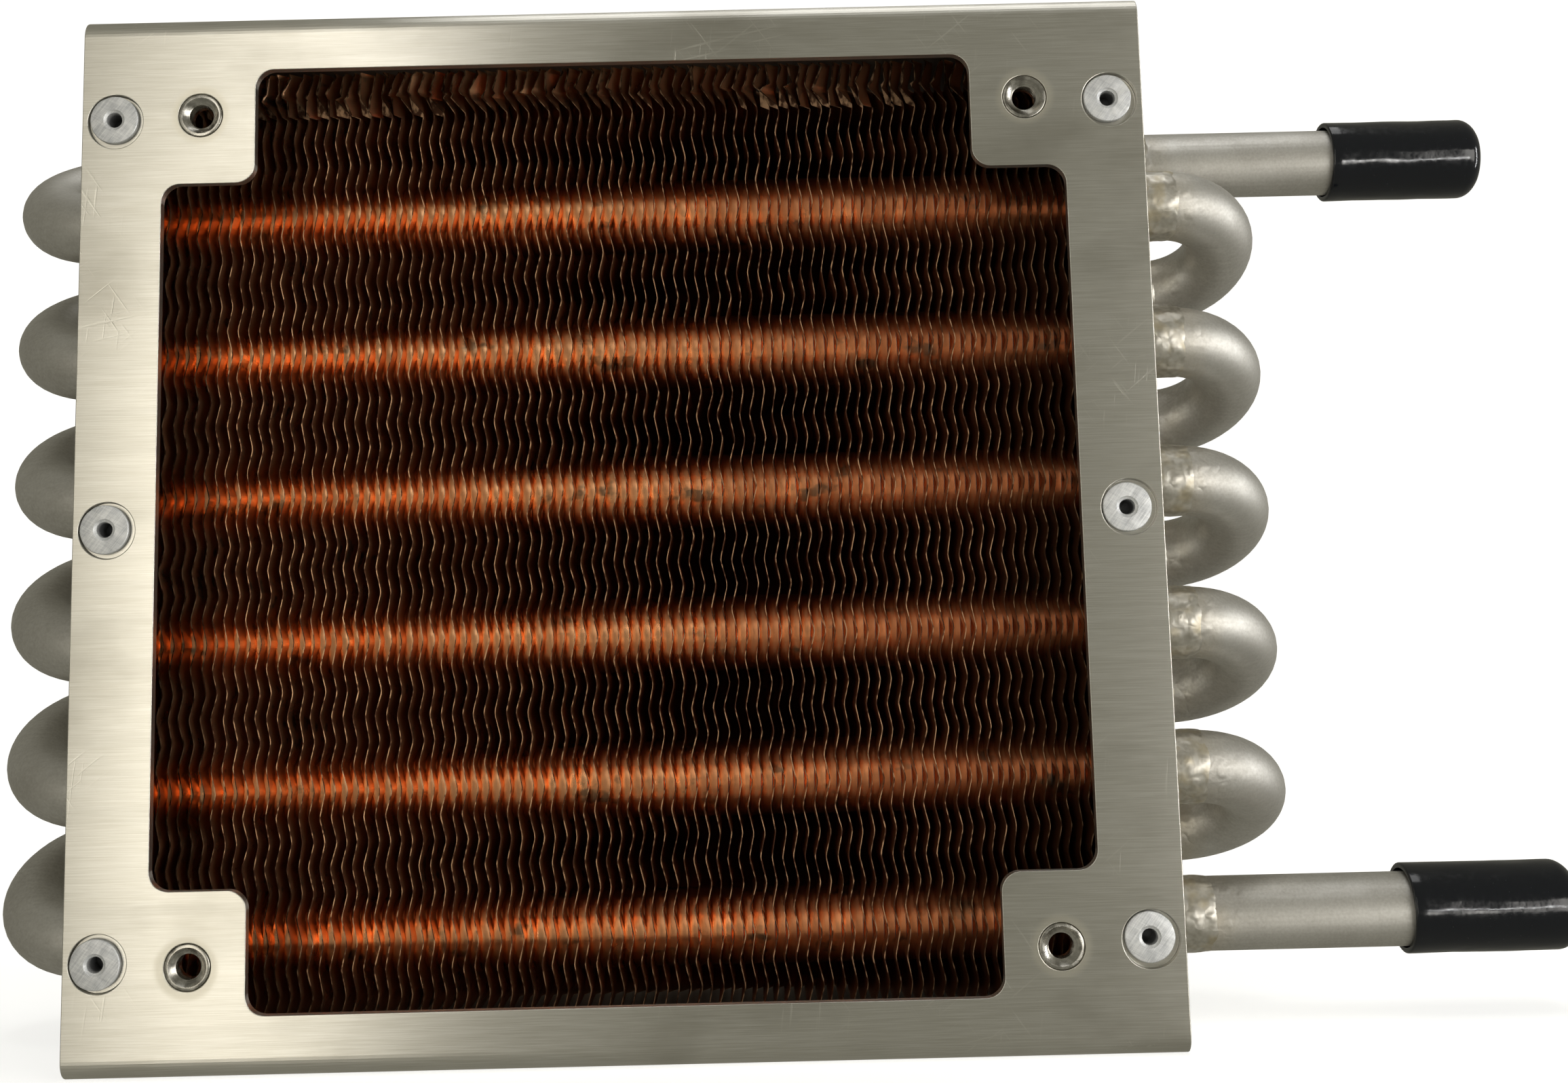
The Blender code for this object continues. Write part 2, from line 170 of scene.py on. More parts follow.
def modify(piece: Object, kind: str, **settings: object) -> None:
    """Add a modifier with its settings and apply it.

    Args:
        piece: Object to work on.
        kind: Modifier type.
        settings: Properties of the modifier.
    """
    activate(piece)
    modifier = piece.modifiers.new(kind.title(), kind)
    for name, value in settings.items():
        setattr(modifier, name, value)
    bpy.ops.object.modifier_apply(modifier=modifier.name)


def combine(piece: Object, tool: Object, operation: str = "DIFFERENCE") -> None:
    """Cut a tool out of a piece, or add it, and remove the tool."""
    modify(piece, "BOOLEAN", object=tool, operation=operation, solver="EXACT")
    bpy.data.objects.remove(tool)


def join(pieces: Sequence[Object], name: str) -> Object:
    """Join pieces into the first one and name it.

    Args:
        pieces: Objects to join.
        name: Name of the joined object.

    Returns:
        The first object, which now holds them all.
    """
    activate(pieces[0])
    for piece in pieces:
        piece.select_set(True)
    bpy.ops.object.join()
    pieces[0].name = name
    return pieces[0]


def copy_of(piece: Object, name: str) -> Object:
    """Duplicate a piece with a mesh of its own.

    Args:
        piece: Object to copy.
        name: Name of the new object.

    Returns:
        The copy.
    """
    activate(piece)
    bpy.ops.object.duplicate(linked=False)
    made = bpy.context.active_object
    made.name = name
    return made


def add_box(name: str, low: Sequence[float], high: Sequence[float]) -> Object:
    """Add a block that reaches from one corner to the opposite one.

    Args:
        name: Name of the new object.
        low: One corner.
        high: The opposite corner.

    Returns:
        The block.
    """
    deselect_all()
    low, high = Vector(low), Vector(high)
    bpy.ops.mesh.primitive_cube_add(size=1, location=(low + high) / 2)
    block = bpy.context.active_object
    block.name = name
    block.scale = high - low
    bpy.ops.object.transform_apply(location=True, rotation=True, scale=True)
    return block


def add_rods(
    name: str, places: Sequence[Vector], radius: float, length: float, rotation: Sequence[float], sides: int
) -> Object:
    """Add one object of like cylinders.

    Args:
        name: Name of the object.
        places: Centre of each cylinder.
        radius: Radius of a cylinder.
        length: Length of a cylinder.
        rotation: Turns of each cylinder's axis from +Z.
        sides: Number of sides.

    Returns:
        The cylinders, joined.
    """
    rods = []
    for place in places:
        deselect_all()
        bpy.ops.mesh.primitive_cylinder_add(
            vertices=sides, radius=radius, depth=length, location=place, rotation=rotation
        )
        bpy.ops.object.transform_apply(location=True, rotation=True, scale=True)
        rods.append(bpy.context.active_object)
    return join(rods, name)


def lathe(name: str, rings: Sequence[tuple[float, float]], sides: int, bored: bool) -> Object:
    """Turn a piece about +Z by extruding a circle from ring to ring.

    Args:
        name: Name of the object.
        rings: Radius and height of each ring along the outline.
        sides: Number of sides.
        bored: Whether the outline closes on itself, round a through hole. Otherwise both ends are filled.

    Returns:
        The turned piece, with its normals outwards.
    """
    deselect_all()
    radius, height = rings[0]
    bpy.ops.mesh.primitive_circle_add(vertices=sides, radius=radius, location=(0, 0, height))
    piece = bpy.context.active_object
    bpy.ops.object.transform_apply(location=True, rotation=True, scale=True)
    piece.name = name
    outline = [*rings, rings[0]] if bored else rings
    with editing(piece):
        bpy.ops.mesh.select_all(action="SELECT")
        for (last_radius, last_height), (radius, height) in pairwise(outline):
            growth = radius / last_radius
            bpy.ops.mesh.extrude_region_move(
                TRANSFORM_OT_translate={"value": (0, 0, height - last_height)}
            )
            bpy.ops.transform.resize(value=(growth, growth, 1), center_override=(0, 0, height))
        bpy.ops.mesh.select_all(action="SELECT")
        bpy.ops.mesh.remove_doubles(threshold=TOUCHING)
        if not bored:
            bpy.ops.mesh.fill_holes(sides=0)
        bpy.ops.mesh.normals_make_consistent(inside=False)
    return piece


def rounding(centre: tuple[float, float], radius: float, start: float, end: float, steps: int) -> list:
    """Points of an arc for a turned outline, with angles in degrees from the radius direction."""
    turns = [math.radians(start + (end - start) * i / steps) for i in range(steps + 1)]
    return [(centre[0] + radius * math.cos(a), centre[1] + radius * math.sin(a)) for a in turns]


def smooth(piece: Object, angle: float = 32.0) -> None:
    """Shade a piece smooth, but for edges sharper than an angle in degrees."""
    activate(piece)
    bpy.ops.object.shade_smooth_by_angle(angle=math.radians(angle))


def soften_edges(piece: Object, width: float, segments: int = 2) -> None:
    """Round the sharp edges of a piece and keep its flat faces flat under light.

    Args:
        piece: Object to work on.
        width: Width of the rounding.
        segments: How many faces round it.
    """
    modify(
        piece,
        "BEVEL",
        width=width,
        segments=segments,
        limit_method="ANGLE",
        angle_limit=math.radians(38),
        harden_normals=True,
        use_clamp_overlap=True,
        miter_outer="MITER_ARC",
    )


def ripple(piece: Object, kind: str, size: float, height: float) -> None:
    """Push a surface in and out with a solid noise.

    Args:
        piece: Object to displace.
        kind: Noise type, such as CLOUDS or VORONOI.
        size: Size of one lump.
        height: Full height of the lumps.
    """
    noise = bpy.data.textures.new("lumps", kind)
    noise.noise_scale = size
    modify(
        piece,
        "DISPLACE",
        texture=noise,
        texture_coords="GLOBAL",
        strength=height,
        mid_level=0.5,
        direction="NORMAL",
    )


def hand_over(
    piece: Object,
    material: Material,
    nodes: Sequence[str],
    body: str = CORE_BODY,
) -> None:
    """Give a finished piece its material and its place in the frame.

    Args:
        piece: Finished object, at the origin.
        material: Its finish.
        nodes: CAD nodes that it stands for.
        body: CAD body that it moves with.
    """
    piece.data.materials.clear()
    piece.data.materials.append(material)
    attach(piece, body)
    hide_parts(*nodes)
    log.info("%s: %d faces, rides on %s", piece.name, len(piece.data.polygons), body)


# ---------------------------------------------------------------- finishes


def linear(code: str) -> tuple[float, float, float, float]:
    """Turn an sRGB hex colour into the linear colour that shaders take.

    Args:
        code: Colour as # and six hex digits.

    Returns:
        Red, green, blue and alpha.
    """
    values = [int(code[i : i + 2], 16) / 255 for i in (1, 3, 5)]
    red, green, blue = (v / 12.92 if v <= 0.04045 else ((v + 0.055) / 1.055) ** 2.4 for v in values)
    return red, green, blue, 1.0


def add_node(tree: NodeTree, kind: str, links: dict | None = None, **settings: object) -> Node:
    """Add a shader node with its settings and inputs.

    Inputs that share a name are given by their place: a colour Mix takes its share at 0 and its two colours
    at 6 and 7, and gives its result at 2. A MapRange takes the value, its old low and high, and its new low
    and high.

    Args:
        tree: Node tree of the material.
        kind: Node type without its ShaderNode prefix.
        links: For each input, by name or place, a socket to link, a value, or a colour as an sRGB hex code.
        settings: Properties of the node itself.

    Returns:
        The new node.
    """
    node = tree.nodes.new("ShaderNode" + kind)
    for name, value in settings.items():
        setattr(node, name, value)
    for name, value in (links or {}).items():
        if isinstance(value, NodeSocket):
            tree.links.new(value, node.inputs[name])
        else:
            node.inputs[name].default_value = linear(value) if isinstance(value, str) else value
    return node


@dataclass(frozen=True)
class Finish:
    """What every finish shares: a name and a Principled shader fed by Object coordinates."""

    name: str

    def build(self) -> Material:
        """Make the material.

        Returns:
            A material whose shader is fed by the finish's own pattern.
        """
        material = bpy.data.materials.new(self.name)
        material.use_nodes = True
        tree = material.node_tree
        shader = tree.nodes["Principled BSDF"]
        coordinates = add_node(tree, "TexCoord").outputs["Object"]
        self.dress(tree, shader, coordinates)
        return material

    def dress(self, tree: NodeTree, shader: Node, coordinates: NodeSocket) -> None:
        """Feed the shader. Each finish does this in its own way."""
        raise NotImplementedError

    @staticmethod
    def grain(
        tree: NodeTree,
        coordinates: NodeSocket,
        sizes: Sequence[float],
        turn: Sequence[float] = (0.0, 0.0, 0.0),
        detail: float = 2.0,
    ) -> NodeSocket:
        """Solid noise whose grain has a real size along X, Y and Z.

        Args:
            tree: Node tree of the material.
            coordinates: Where the pattern is read.
            sizes: Length of one grain along each axis, in millimetres.
            turn: Turns of the pattern, in degrees.
            detail: How many finer octaves are added.

        Returns:
            The noise's value, from 0 to 1.
        """
        turned = add_node(
            tree, "Mapping", {"Vector": coordinates, "Rotation": [math.radians(a) for a in turn]}
        )
        scaled = add_node(
            tree, "Mapping", {"Vector": turned.outputs[0], "Scale": [1 / (size * MM) for size in sizes]}
        )
        made = add_node(tree, "TexNoise", {"Vector": scaled.outputs[0], "Scale": 1.0, "Detail": detail})
        return made.outputs[0]

    @staticmethod
    def sum_of(tree: NodeTree, *terms: tuple[NodeSocket, float]) -> NodeSocket:
        """Add up values, each with its own weight.

        Args:
            tree: Node tree of the material.
            terms: Each value and its weight.

        Returns:
            The sum.
        """
        total = None
        for value, weight in terms:
            links = {0: value, 1: weight, 2: 0.0 if total is None else total}
            total = add_node(tree, "Math", links, operation="MULTIPLY_ADD").outputs[0]
        return total

    @staticmethod
    def pools(tree: NodeTree, coordinates: NodeSocket, pool_mm: float = 2.1) -> NodeSocket:
        """Height of overlapping weld pools: round, uneven, each with faint rings.

        Args:
            tree: Node tree of the material.
            coordinates: Where the pattern is read.
            pool_mm: Width of one pool, in millimetres.

        Returns:
            The height, before it is scaled.
        """
        density = 1 / (pool_mm * MM)
        noise = add_node(tree, "TexNoise", {"Vector": coordinates, "Scale": density, "Detail": 1.0})
        offset = {0: noise.outputs[1], 1: (0.5, 0.5, 0.5)}
        centred = add_node(tree, "VectorMath", offset, operation="SUBTRACT")
        uneven = add_node(
            tree, "VectorMath", {0: centred.outputs[0], 3: pool_mm * MM}, operation="SCALE"
        ).outputs[0]
        warped = add_node(tree, "VectorMath", {0: coordinates, 1: uneven}, operation="ADD").outputs[0]
        cells = add_node(tree, "TexVoronoi", {"Vector": warped, "Scale": density})
        away = cells.outputs["Distance"]
        rings = add_node(tree, "Math", {0: away, 1: 9.0}, operation="MULTIPLY").outputs[0]
        waves = add_node(tree, "Math", {0: rings}, operation="SINE").outputs[0]
        return Finish.sum_of(tree, (waves, 0.5), (away, -2.0))


@dataclass(frozen=True)
class BrushedSheet(Finish):
    """Aluminium sheet, brushed along X: fine lines, a sheen drawn out across them, and shop scratches."""

    light: str = "#e9e7e0"
    dull: str = "#d3d0c6"
    # grime in the mottled patches
    grime: str = "#a5a195"
    scratch: str = "#f6f3ea"
    line_mm: float = 0.11  # real brushing is finer, and is drawn just wide enough to show
    line_length_mm: float = 6.0
    quarter_turn: float = 0.0  # degrees about Z from brushing along X
    # painted shade on the faces inside the sheet, where little light gets in
    soot: str = "#98928a"
    # corners of the room inside the sheet, whose faces take a painted shade
    inside_low: tuple[float, float, float] = (0.0, 0.0, 0.0)
    inside_high: tuple[float, float, float] = (0.0, 0.0, 0.0)
    polished: tuple[float, float, float] | None = None  # nuts' x, middle height, and height above it
    ring: str = "#ece7d8"  # bare metal, rubbed round each nut
    ring_inner: float = 4.3 * MM  # the rubbed ring is at its strongest up to here
    ring_outer: float = 5.0 * MM
    ring_strength: float = 0.6
    ring_ragged: float = 2.0 * MM

    def dress(self, tree: NodeTree, shader: Node, coordinates: NodeSocket) -> None:
        """Feed the shader with brushing, bands, mottling, scratches and a painted shade on the inside.

        Args:
            tree: Node tree of the material.
            shader: Principled shader of the material.
            coordinates: Where the pattern is read.
        """
        source = coordinates
        # Painted shade: faces inside the sheet are darkened and dulled.
        sooty = self.inside(tree, coordinates)
        if self.quarter_turn:
            turn = {"Vector": coordinates, "Rotation": (0, 0, math.radians(self.quarter_turn))}
            coordinates = add_node(tree, "Mapping", turn).outputs[0]
        fine = self.grain(tree, coordinates, (self.line_length_mm, self.line_mm, self.line_mm), detail=3)
        bands = self.grain(tree, coordinates, (90, 1.4, 1.4), detail=2)
        mottle = self.grain(tree, coordinates, (24, 13, 13), detail=4)
        scuffs = self.scratches(tree, coordinates)
        share = add_node(tree, "MapRange", {0: fine, 1: 0.3, 2: 0.7}).outputs[0]
        grained = add_node(tree, "Mix", {0: share, 6: self.dull, 7: self.light}, data_type="RGBA").outputs[2]
        share = add_node(tree, "MapRange", {0: bands, 1: 0.35, 2: 0.7, 3: 0, 4: 0.25}).outputs[0]
        banded = add_node(tree, "Mix", {0: share, 6: grained, 7: self.dull}, data_type="RGBA").outputs[2]
        share = add_node(tree, "MapRange", {0: mottle, 1: 0.52, 2: 0.7, 3: 0, 4: 0.45}).outputs[0]
        stained = add_node(tree, "Mix", {0: share, 6: banded, 7: self.grime}, data_type="RGBA").outputs[2]
        share = add_node(tree, "MapRange", {0: scuffs, 1: 0, 2: 1, 3: 0, 4: 0.4}).outputs[0]
        coloured = add_node(tree, "Mix", {0: share, 6: stained, 7: self.scratch}, data_type="RGBA").outputs[2]
        rough = self.sum_of(tree, (fine, 0.10), (bands, 0.10), (mottle, 0.12), (scuffs, 0.10))
        rough = add_node(tree, "MapRange", {0: rough, 1: 0.08, 2: 0.3, 3: 0.27, 4: 0.36}).outputs[0]
        rough = self.sum_of(tree, (rough, 1.0), (sooty, 0.3))
        if self.polished:
            halo = self.halo(tree, source, mottle)
            rubbed = {0: halo, 6: coloured, 7: self.ring}
            coloured = add_node(tree, "Mix", rubbed, data_type="RGBA").outputs[2]
            rough = self.sum_of(tree, (rough, 1.0), (halo, 0.12))
        # Painted shade on the faces inside the sheet.
        colour = add_node(tree, "Mix", {0: sooty, 6: coloured, 7: self.soot}, data_type="RGBA").outputs[2]
        tree.links.new(colour, shader.inputs["Base Color"])
        tree.links.new(rough, shader.inputs["Roughness"])
        relief = self.sum_of(tree, (fine, 1.0), (bands, 0.3), (scuffs, -1.2))
        lines = {"Height": relief, "Distance": 0.006 * MM, "Strength": 0.4}
        raised = add_node(tree, "Bump", lines).outputs[0]
        tree.links.new(raised, shader.inputs["Normal"])
        # The sheen is drawn out across the brushing. The fan plate takes X and a quarter turn, and the end
        # plates, which are brushed along Y, take Z as it is.
        along = (0.0, 0.0, 1.0) if self.quarter_turn else (1.0, 0.0, 0.0)
        tangent = add_node(tree, "CombineXYZ", dict(enumerate(along)))
        tree.links.new(tangent.outputs[0], shader.inputs["Tangent"])
        shader.inputs["Anisotropic Rotation"].default_value = 0.0 if self.quarter_turn else 0.25
        shader.inputs["Metallic"].default_value = 1.0
        shader.inputs["Anisotropic"].default_value = 0.88

    def inside(self, tree: NodeTree, coordinates: NodeSocket) -> NodeSocket:
        """One where a point faces the room inside the sheet, and zero elsewhere.

        Args:
            tree: Node tree of the material.
            coordinates: Where the pattern is read.

        Returns:
            That one or zero.
        """
        found = None
        places = add_node(tree, "SeparateXYZ", {0: coordinates})
        for axis, (low, high) in enumerate(zip(self.inside_low, self.inside_high)):
            place = places.outputs[axis]
            above = add_node(tree, "MapRange", {0: place, 1: low - 0.05 * MM, 2: low}).outputs[0]
            fall = {0: place, 1: high, 2: high + 0.05 * MM, 3: 1, 4: 0}
            below = add_node(tree, "MapRange", fall).outputs[0]
            within = add_node(tree, "Math", {0: above, 1: below}, operation="MULTIPLY").outputs[0]
            found = within if found is None else add_node(
                tree, "Math", {0: found, 1: within}, operation="MULTIPLY"
            ).outputs[0]
        return found

    def halo(self, tree: NodeTree, coordinates: NodeSocket, mottle: NodeSocket) -> NodeSocket:
        """Share of the hand-polished ring round each nut, from 0 to 1, with an uneven rim.

        Args:
            tree: Node tree of the material.
            coordinates: Where the pattern is read.
            mottle: Slow noise that makes the rim uneven.

        Returns:
            That share.
        """
        nut_x, middle_z, nut_z = self.polished
        places = add_node(tree, "SeparateXYZ", {0: coordinates}).outputs
        across = add_node(tree, "Math", {0: places[0]}, operation="ABSOLUTE").outputs[0]
        above = add_node(tree, "Math", {0: places[2], 1: middle_z}, operation="SUBTRACT").outputs[0]
        above = add_node(tree, "Math", {0: above}, operation="ABSOLUTE").outputs[0]
        from_nut = add_node(tree, "CombineXYZ", {0: across, 2: above}).outputs[0]
        ends = {0: from_nut, 1: (nut_x, 0, nut_z)}
        away = add_node(tree, "VectorMath", ends, operation="DISTANCE").outputs["Value"]
        ragged = self.sum_of(tree, (away, 1.0), (mottle, self.ring_ragged))
        fade = {0: ragged, 1: self.ring_inner, 2: self.ring_outer, 3: self.ring_strength, 4: 0}
        return add_node(tree, "MapRange", fade).outputs[0]

    def scratches(self, tree: NodeTree, coordinates: NodeSocket) -> NodeSocket:
        """Sparse hairlines in several directions, gathered in worn places.

        Args:
            tree: Node tree of the material.
            coordinates: Where the pattern is read.

        Returns:
            How strongly a place is scratched, from 0 up.
        """
        places = self.grain(tree, coordinates, (16, 16, 16), detail=1)
        worn = add_node(tree, "MapRange", {0: places, 1: 0.54, 2: 0.68}).outputs[0]
        found = None
        for angle, length in ((38, 9), (-55, 7), (12, 14), (84, 6)):
            line = self.grain(tree, coordinates, (length, 0.28, 0.28), (0, angle, 0), detail=0)
            thin = add_node(tree, "MapRange", {0: line, 1: 0.76, 2: 0.82}).outputs[0]
            found = thin if found is None else add_node(
                tree, "Math", {0: found, 1: thin}, operation="MAXIMUM"
            ).outputs[0]
        return add_node(tree, "Math", {0: found, 1: worn}, operation="MULTIPLY").outputs[0]


@dataclass(frozen=True)
class PickledStainless(Finish):
    """Stainless tube, bent and acid pickled: an even grey satin with a fine grain, straw at the welds."""

    light: str = "#dcdad5"
    dark: str = "#c6c3bd"
    straw: str = "#c4b596"
    weld_from: float = 0.066
    weld_to: float = 0.079

    def dress(self, tree: NodeTree, shader: Node, coordinates: NodeSocket) -> None:
        """Feed the shader with grain, cloudy patches and heat tint.

        Args:
            tree: Node tree of the material.
            shader: Principled shader of the material.
            coordinates: Where the pattern is read.
        """
        grain = self.grain(tree, coordinates, (0.35, 0.35, 0.35), detail=3)
        clouds = self.grain(tree, coordinates, (7, 7, 7), detail=3)
        drawn = self.grain(tree, coordinates, (22, 0.5, 0.5), detail=1)
        mixed = self.sum_of(tree, (grain, 0.35), (clouds, 0.45), (drawn, 0.2))
        share = add_node(tree, "MapRange", {0: mixed, 1: 0.36, 2: 0.64}).outputs[0]
        metal = add_node(tree, "Mix", {0: share, 6: self.dark, 7: self.light}, data_type="RGBA").outputs[2]
        along = add_node(tree, "SeparateXYZ", {0: coordinates}).outputs[0]
        hot = add_node(tree, "MapRange", {0: along, 1: self.weld_from, 2: self.weld_to}).outputs[0]
        band = add_node(tree, "MapRange", {0: hot, 1: 0.0, 2: 0.5, 3: 0.0, 4: 1.0}).outputs[0]
        fade = add_node(tree, "MapRange", {0: hot, 1: 0.5, 2: 1.0, 3: 1.0, 4: 0.0}).outputs[0]
        tint = add_node(tree, "Math", {0: band, 1: fade}, operation="MULTIPLY").outputs[0]
        share = add_node(tree, "MapRange", {0: clouds, 1: 0.4, 2: 0.65, 3: 0.1, 4: 0.75}).outputs[0]
        patchy = add_node(tree, "Math", {0: tint, 1: share}, operation="MULTIPLY").outputs[0]
        colour = add_node(tree, "Mix", {0: patchy, 6: metal, 7: self.straw}, data_type="RGBA").outputs[2]
        tree.links.new(colour, shader.inputs["Base Color"])
        roughness = add_node(tree, "MapRange", {0: mixed, 1: 0.36, 2: 0.64, 3: 0.6, 4: 0.5}).outputs[0]
        tree.links.new(roughness, shader.inputs["Roughness"])
        pools = self.pools(tree, coordinates)
        wandering = self.sum_of(tree, (along, 1.0), (clouds, 6 * MM))
        near = add_node(tree, "MapRange", {0: wandering, 1: 0.08, 2: 0.083, 3: 1, 4: 0}).outputs[0]
        ends = add_node(tree, "MapRange", {0: along, 1: 0.0, 2: 0.066}).outputs[0]
        run = add_node(tree, "Math", {0: near, 1: ends}, operation="MULTIPLY").outputs[0]
        run = add_node(tree, "Math", {0: run, 1: pools}, operation="MULTIPLY").outputs[0]
        relief = self.sum_of(tree, (grain, 0.3), (clouds, 0.6), (run, 1.0))
        raised = add_node(tree, "Bump", {"Height": relief, "Distance": 0.07 * MM, "Strength": 0.6}).outputs[0]
        tree.links.new(raised, shader.inputs["Normal"])
        shader.inputs["Metallic"].default_value = 1.0


@dataclass(frozen=True)
class PickledWeld(Finish):
    """Weld run without filler, pickled with its tube: glassy overlapping ripples, yellower than the tube."""

    light: str = "#dcd8cf"
    dark: str = "#c6c1b6"
    straw: str = "#c6b896"

    def dress(self, tree: NodeTree, shader: Node, coordinates: NodeSocket) -> None:
        """Feed the shader with ripples, pits and oxide.

        Args:
            tree: Node tree of the material.
            shader: Principled shader of the material.
            coordinates: Where the pattern is read.
        """
        pits = self.grain(tree, coordinates, (0.9, 0.9, 0.9), detail=1)
        oxide = self.grain(tree, coordinates, (2.6, 2.6, 2.6), detail=2)
        share = add_node(tree, "MapRange", {0: pits, 1: 0.35, 2: 0.62}).outputs[0]
        metal = add_node(tree, "Mix", {0: share, 6: self.dark, 7: self.light}, data_type="RGBA").outputs[2]
        share = add_node(tree, "MapRange", {0: oxide, 1: 0.48, 2: 0.7, 3: 0, 4: 0.6}).outputs[0]
        colour = add_node(tree, "Mix", {0: share, 6: metal, 7: self.straw}, data_type="RGBA").outputs[2]
        tree.links.new(colour, shader.inputs["Base Color"])
        roughness = add_node(tree, "MapRange", {0: oxide, 1: 0.3, 2: 0.7, 3: 0.38, 4: 0.52}).outputs[0]
        tree.links.new(roughness, shader.inputs["Roughness"])
        relief = self.sum_of(tree, (self.pools(tree, coordinates), 1.0), (pits, 0.4))
        raised = add_node(tree, "Bump", {"Height": relief, "Distance": 0.07 * MM, "Strength": 0.6}).outputs[0]
        tree.links.new(raised, shader.inputs["Normal"])
        shader.inputs["Metallic"].default_value = 1.0


@dataclass(frozen=True)
class FinCopper(Finish):
    """Bare copper foil: orange faces under brown tarnish, pale sheared edges and a few grey-green stains,
    with painted light mixed in: shade towards +X, brighter bands at the collar rows, and glints and shade
    along the sheared edges.
    """

    bright: str = "#fcc193"
    tarnish: str = "#bb7a50"
    # clean drawn copper at the collar rows, which also paints the lit bands there brighter
    clean: str = "#fec594"
    stain: str = "#6d675a"
    # pale bare copper on the sheared edges, speckled with burr; the pale specks are painted glints and burr
    # is painted shade between them
    edge: str = "#c09a78"
    burr: str = "#4c3224"  # between the burrs of a sheared edge
    front: float = 0.0  # where the sheared front edges are, along Y
    rows: tuple[float, float] = (0.0, 1.0)  # height of a row of collars, and the pitch of the rows

    def dress(self, tree: NodeTree, shader: Node, coordinates: NodeSocket) -> None:
        """Feed the shader with tarnish that differs from fin to fin, with stains, and with painted light:
        shade towards +X, brighter bands at the collar rows, and glints and shade on the sheared edges.

        Args:
            tree: Node tree of the material.
            shader: Principled shader of the material.
            coordinates: Where the pattern is read.
        """
        sheet = self.grain(tree, coordinates, (1.6, 30, 40), detail=1)
        patch = self.grain(tree, coordinates, (5, 9, 7), detail=2)
        grain = self.grain(tree, coordinates, (0.5, 0.5, 0.5), detail=1)
        along = add_node(tree, "SeparateXYZ", {0: coordinates}).outputs[0]
        # Tarnish grows towards +X, and this also stands for painted shade: the bands get darker to the right.
        handled = add_node(tree, "MapRange", {0: along, 1: 0.0, 2: 0.055, 3: 0, 4: 0.24}).outputs[0]
        tarnished = self.sum_of(tree, (sheet, 0.45), (patch, 0.5), (grain, 0.05), (handled, 1.0))
        oxide = add_node(tree, "MapRange", {0: tarnished, 1: 0.4, 2: 0.66, 3: 0, 4: 0.8}).outputs[0]
        # Painted shade: the clean copper fades out towards +X, so the bands there are darker.
        kept = add_node(tree, "MapRange", {0: along, 1: -0.005, 2: 0.055, 3: 1, 4: 0.1}).outputs[0]
        drawn = self.drawn(tree, coordinates)
        # Clean copper at the collar rows, partly painted brightness of the lit bands.
        clean = add_node(tree, "Math", {0: drawn, 1: kept}, operation="MULTIPLY").outputs[0]
        faces = {0: oxide, 6: self.bright, 7: self.tarnish}
        aged = add_node(tree, "Mix", faces, data_type="RGBA").outputs[2]
        copper = add_node(tree, "Mix", {0: clean, 6: aged, 7: self.clean}, data_type="RGBA").outputs[2]
        spots = self.grain(tree, coordinates, (5, 5, 3.2), detail=3)
        spoiled = add_node(tree, "MapRange", {0: spots, 1: 0.63, 2: 0.7, 3: 0, 4: 0.75}).outputs[0]
        stained = add_node(tree, "Mix", {0: spoiled, 6: copper, 7: self.stain}, data_type="RGBA").outputs[2]
        depth = add_node(tree, "SeparateXYZ", {0: coordinates}).outputs[1]
        cut = {0: depth, 1: self.front + 0.06 * MM, 2: self.front + 0.14 * MM, 3: 1, 4: 0}
        sheared = add_node(tree, "MapRange", cut).outputs[0]
        # Painted glints and shade: the sheared edges are speckled pale and dark.
        burr = self.grain(tree, coordinates, (0.6, 0.6, 1.1), detail=2)
        share = add_node(tree, "MapRange", {0: burr, 1: 0.44, 2: 0.6}).outputs[0]
        worn = add_node(tree, "Mix", {0: share, 6: self.burr, 7: self.edge}, data_type="RGBA").outputs[2]
        colour = add_node(tree, "Mix", {0: sheared, 6: stained, 7: worn}, data_type="RGBA").outputs[2]
        tree.links.new(colour, shader.inputs["Base Color"])
        dullness = add_node(tree, "MapRange", {0: tarnished, 1: 0.35, 2: 0.65, 3: 0.25, 4: 0.37}).outputs[0]
        polish = self.sum_of(tree, (dullness, 1.0), (sheared, 0.08))
        tree.links.new(polish, shader.inputs["Roughness"])
        bare = add_node(tree, "MapRange", {0: oxide, 1: 0, 2: 0.8, 3: 0.95, 4: 0.87}).outputs[0]
        metal = self.sum_of(tree, (bare, 1.0), (clean, 0.1))
        tree.links.new(metal, shader.inputs["Metallic"])
        raised = add_node(tree, "Bump", {"Height": grain, "Distance": 0.01 * MM, "Strength": 0.2}).outputs[0]
        tree.links.new(raised, shader.inputs["Normal"])

    def drawn(self, tree: NodeTree, coordinates: NodeSocket) -> NodeSocket:
        """Share of the clean copper about each row of collars, where the foil was drawn, from 0 to 0.8. It
        also paints the bands at the rows brighter, standing in for the light that the collars catch.

        Args:
            tree: Node tree of the material.
            coordinates: Where the pattern is read.

        Returns:
            That share.
        """
        height = add_node(tree, "SeparateXYZ", {0: coordinates}).outputs[2]
        row, pitch = self.rows
        above = add_node(tree, "Math", {0: height, 1: row}, operation="SUBTRACT").outputs[0]
        off = add_node(tree, "Math", {0: above, 1: pitch / 2}, operation="PINGPONG").outputs[0]
        return add_node(tree, "MapRange", {0: off, 1: 2.5 * MM, 2: 6.0 * MM, 3: 0.8, 4: 0}).outputs[0]


